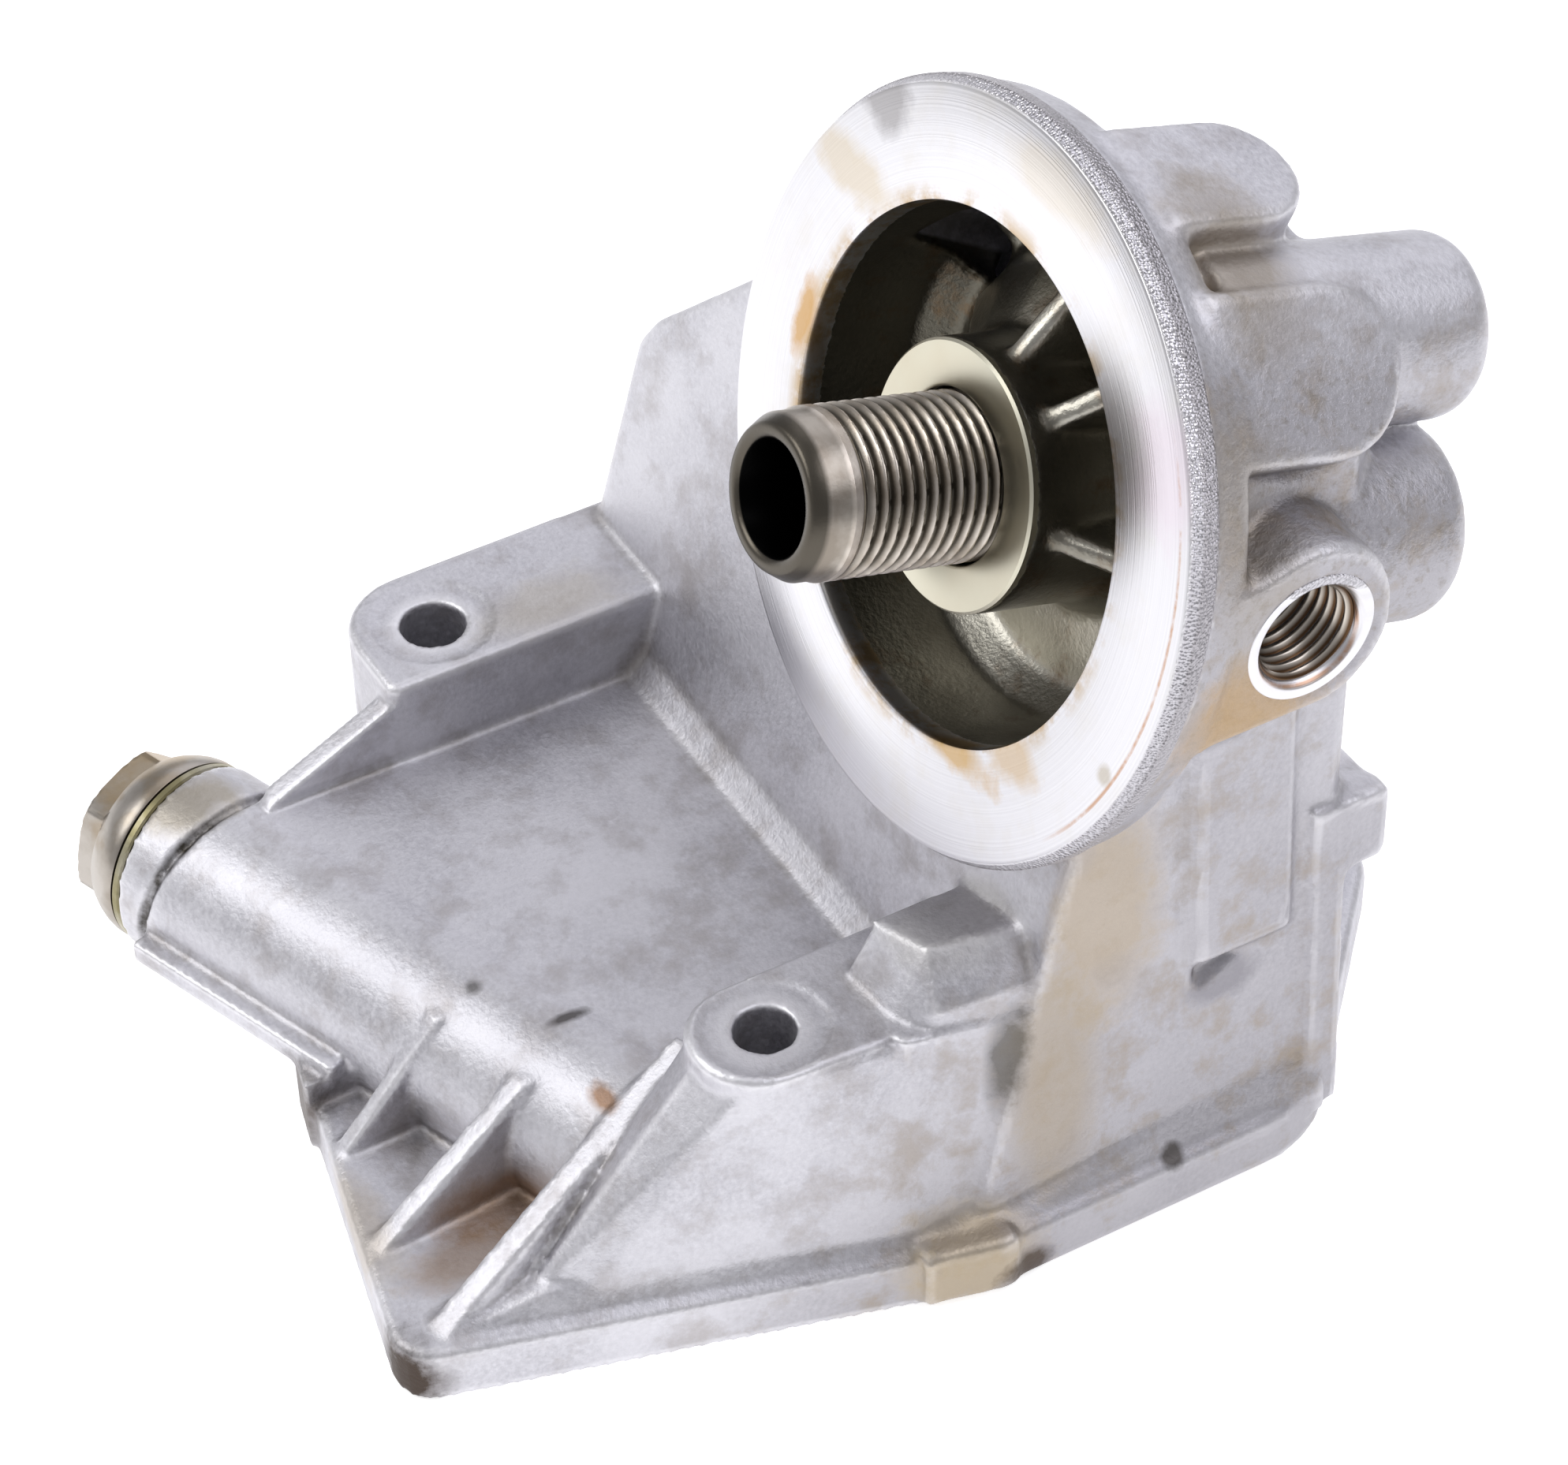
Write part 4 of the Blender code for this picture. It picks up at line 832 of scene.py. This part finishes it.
# The thread's roots are dark, partly oil and partly painted shade
crest = add(tree, "ShaderNodeMapRange", {
    "Value": radius, "From Min": NIPPLE_RADIUS - 0.0007, "From Max": NIPPLE_RADIUS - 0.0002})
tone = add(tree, "ShaderNodeMix", {"Factor": crest, "A": linear("5A554D"), "B": tone}, data_type="RGBA")
# Painted shade: the bore is nearly black
bore = add(tree, "ShaderNodeMapRange", {
    "Value": radius, "From Min": NIPPLE_BORE + 0.0002, "From Max": NIPPLE_BORE + 0.0001})
tone = add(tree, "ShaderNodeMix", {"Factor": bore, "A": tone, "B": linear("0A0A0A")}, data_type="RGBA")
bump = add(tree, "ShaderNodeBump", {"Height": fine, "Strength": 0.25, "Distance": 0.00005})
steel_shader = add(tree, "ShaderNodeBsdfPrincipled", {
    "Base Color": tone, "Metallic": 1.0, "Roughness": 0.34, "Normal": bump})
add(tree, "ShaderNodeOutputMaterial", {"Surface": steel_shader})

nipple = new_piece("threaded_nipple", grid_mesh("threaded_nipple", threaded_nipple(), 50.0), steel)
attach(nipple, "housing")
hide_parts("filter_nipple")


# The side port for a pressure sender is spot faced, chamfered and tapped M12 x 1.5 in the casting.
# Its seat is bright from the cutter, and its thread is cut metal with brown oil left in it.

PORT_RADIUS = 0.0060
PORT_CORE = 0.0053
PORT_PITCH = 0.0015
PORT_END = 0.0097

seat_profile = [
    (PORT_RADIUS, -0.0014), (PORT_RADIUS + 0.0001, -0.0009), (0.0066, -0.0002), (0.0068, -0.0001),
    (0.0078, -0.0001), (0.0080, -0.0003), (0.0080, -0.0014)]


def port_thread(steps=96, per_pitch=12):
    """The tapped thread, rows from its inner end to the mouth and back along its hidden outside. The
    inner radius is core + (outer - core) * wave, where wave is a saw of z / pitch + a / 2 pi."""
    angle = np.linspace(0, 2 * math.pi, steps, endpoint=False)
    rows = int(PORT_END / PORT_PITCH * per_pitch)
    z = np.linspace(-PORT_END, -0.0011, rows)[:, None] + 0 * angle
    phase = (z / PORT_PITCH + angle / (2 * math.pi)) % 1
    wave = np.clip((1 - np.abs(2 * phase - 1) - 0.1) / 0.8, 0, 1)
    mouth = np.clip((z + 0.0017) / 0.0006, 0, 1)
    inner = PORT_CORE + (PORT_RADIUS - PORT_CORE) * np.maximum(wave, mouth)
    outer = np.full((2, steps), PORT_RADIUS + 0.0004)
    radius = np.vstack([inner, outer])
    height = np.vstack([z, np.full((1, steps), -0.0011), np.full((1, steps), -PORT_END)])
    return from_frame(PORT, np.stack([radius * np.cos(angle), radius * np.sin(angle), height], axis=-1))


# Cut aluminium: bright on the crests and browned by oil between them
tapped = new_material("tapped_aluminium")
tree = tapped.node_tree
place = add(tree, "ShaderNodeTexCoord").outputs["Object"]
off = add(tree, "ShaderNodeVectorMath", {0: place, 1: tuple(PORT.translation)}, operation="SUBTRACT")
across = add(tree, "ShaderNodeVectorMath", {0: off, 1: (0, 1, 1)}, operation="MULTIPLY")
radius = add(tree, "ShaderNodeVectorMath", {0: across}, operation="LENGTH").outputs["Value"]
root = add(tree, "ShaderNodeMapRange", {
    "Value": radius, "From Min": PORT_CORE + 0.0001, "From Max": PORT_RADIUS - 0.0002})
tone = add(tree, "ShaderNodeMix", {"Factor": root, "A": linear("C9C2B8"), "B": linear("5A4431")},
           data_type="RGBA")
thread_shader = add(tree, "ShaderNodeBsdfPrincipled", {
    "Base Color": tone, "Metallic": 1.0, "Roughness": 0.30})
add(tree, "ShaderNodeOutputMaterial", {"Surface": thread_shader})

for name, mesh, finish in (
    ("port_seat", grid_mesh("port_seat", turn(seat_profile, PORT, 96)), faced),
    ("port_thread", grid_mesh("port_thread", port_thread(), 50.0), tapped),
):
    made = new_piece(name, mesh, finish)
    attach(made, "housing")


# The relief valve is closed by a plated steel plug with a hexagon and a domed collar, over a soft
# washer. The piston and the spring inside are ground and oiled steel.

WASHER_TOP = 0.0026
PLUG_HALF = 0.0090
PLUG_TOP = 0.0116
PLUG_SHOULDER = 0.0078
PLUG_CLOCKING = math.radians(16)

plug_profile = [
    (0.0, PLUG_TOP), (0.0083, PLUG_TOP), (0.0088, PLUG_TOP - 0.0001),
    (0.0092, PLUG_TOP - 0.0002, PLUG_HALF), (0.0097, PLUG_TOP - 0.0004, PLUG_HALF),
    (0.0101, PLUG_TOP - 0.0007, PLUG_HALF), (0.0103, PLUG_TOP - 0.0010, PLUG_HALF),
    (0.0103, PLUG_SHOULDER + 0.0003, PLUG_HALF), (0.0104, PLUG_SHOULDER, PLUG_HALF + 0.0002),
    (0.0106, PLUG_SHOULDER - 0.0002), (0.0110, PLUG_SHOULDER - 0.0008), (0.0115, PLUG_SHOULDER - 0.0018),
    (0.0119, PLUG_SHOULDER - 0.0029), (0.0121, PLUG_SHOULDER - 0.0039), (0.0121, WASHER_TOP + 0.0003),
    (0.0120, WASHER_TOP + 0.0001), (0.0078, WASHER_TOP + 0.0001), (0.0077, WASHER_TOP - 0.0004),
    (0.0077, -0.0112), (0.0069, -0.0120), (0.0056, -0.0120), (0.0056, 0.0059), (0.0, 0.0060)]
washer_profile = [
    (0.0083, VALVE_FACE + 0.0002), (0.0083, WASHER_TOP - 0.0001), (0.0118, WASHER_TOP - 0.0001),
    (0.0121, WASHER_TOP - 0.0003), (0.0121, VALVE_FACE + 0.0004), (0.0118, VALVE_FACE + 0.0002)]


def dull_metal(name, light, dark, roughness, marks=()):
    """Dull plated or ground metal: two tones in patches a few millimetres wide, with fine grain, and
    the marks that are laid over it."""
    made = new_material(name)
    tree = made.node_tree
    place = add(tree, "ShaderNodeTexCoord").outputs["Object"]
    cloud = add(tree, "ShaderNodeTexNoise", {"Vector": place, "Scale": 180.0, "Detail": 4.0})
    fine = add(tree, "ShaderNodeTexNoise", {"Vector": place, "Scale": 1500.0, "Detail": 3.0})
    shade = add(tree, "ShaderNodeMapRange", {"Value": cloud, "From Min": 0.38, "From Max": 0.62})
    tone = add(tree, "ShaderNodeMix", {"Factor": shade, "A": linear(dark), "B": linear(light)},
               data_type="RGBA")
    tone = stained(tree, place, cloud, tone, marks)
    bump = add(tree, "ShaderNodeBump", {"Height": fine, "Strength": 0.2, "Distance": 0.0001})
    shader = add(tree, "ShaderNodeBsdfPrincipled", {
        "Base Color": tone, "Metallic": 1.0, "Roughness": roughness, "Normal": bump})
    add(tree, "ShaderNodeOutputMaterial", {"Surface": shader})
    return made


plated = dull_metal("dull_zinc_plated_steel", "B8B2AB", "9E968C", 0.36, (
    ((-75, -68, 20), (6, 6, 5), "B39D7C", 0.75),
    ((-68, -74, 12), (3, 4, 8), "9B8462", 0.60),
))
soft = dull_metal("soft_aluminium_washer", "BDB8A6", "8F8868", 0.42)
for name, profile, first, finish, node, slot in (
    ("hexagon_plug", plug_profile, PLUG_CLOCKING, plated, "valve_plug", "plug_steel"),
    ("soft_washer", washer_profile, 0.0, soft, "sealing_washer", "washer_aluminium"),
):
    made = new_piece(name, grid_mesh(name, turn(profile, VALVE, 192, first), 32.0), finish)
    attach(made, "housing")
    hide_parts(node)

for name, finish in (
    ("relief_piston", dull_metal("ground_steel", "A8A8AA", "8C8C8E", 0.25)),
    ("relief_spring", dull_metal("oiled_spring_wire", "77777A", "5A5A5C", 0.35)),
):
    data = bpy.data.objects[name].data
    data.materials.clear()
    data.materials.append(finish)


# Two socket plugs of plated steel close the oil galleries on the back of the head. Each is a short
# threaded slug with a chamfered rim and a hexagon socket, screwed in just below flush.

GALLERIES = (("upper", 0.0184, 0.0263), ("lower", *LOWER_GALLERY))
GALLERY_END = -0.0430
SOCKET_HALF = 0.00294
socket_profile = [
    (0.0, 0.0090), (0.0054, 0.0090), (0.0059, 0.0085), (0.0059, 0.0004), (0.0055, 0.0), (0.0040, 0.0),
    (0.0037, 0.0001), (0.0034, 0.0004, SOCKET_HALF), (0.0034, 0.0049, SOCKET_HALF), (0.0, 0.0050)]
socket_steel = dull_metal("oiled_socket_plug_steel", "96908A", "77716A", 0.40)
for name, across, up in GALLERIES:
    spot = HEAD @ Matrix.Translation((across, up, GALLERY_END))
    mesh = grid_mesh(f"socket_plug_{name}", turn(socket_profile, spot, 96), 30.0)
    made = new_piece(f"socket_plug_{name}", mesh, socket_steel)
    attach(made, "housing")
    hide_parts(f"gallery_plug_{name}")


# The colours are shown through the standard view transform.

scene.view_settings.view_transform = "Standard"
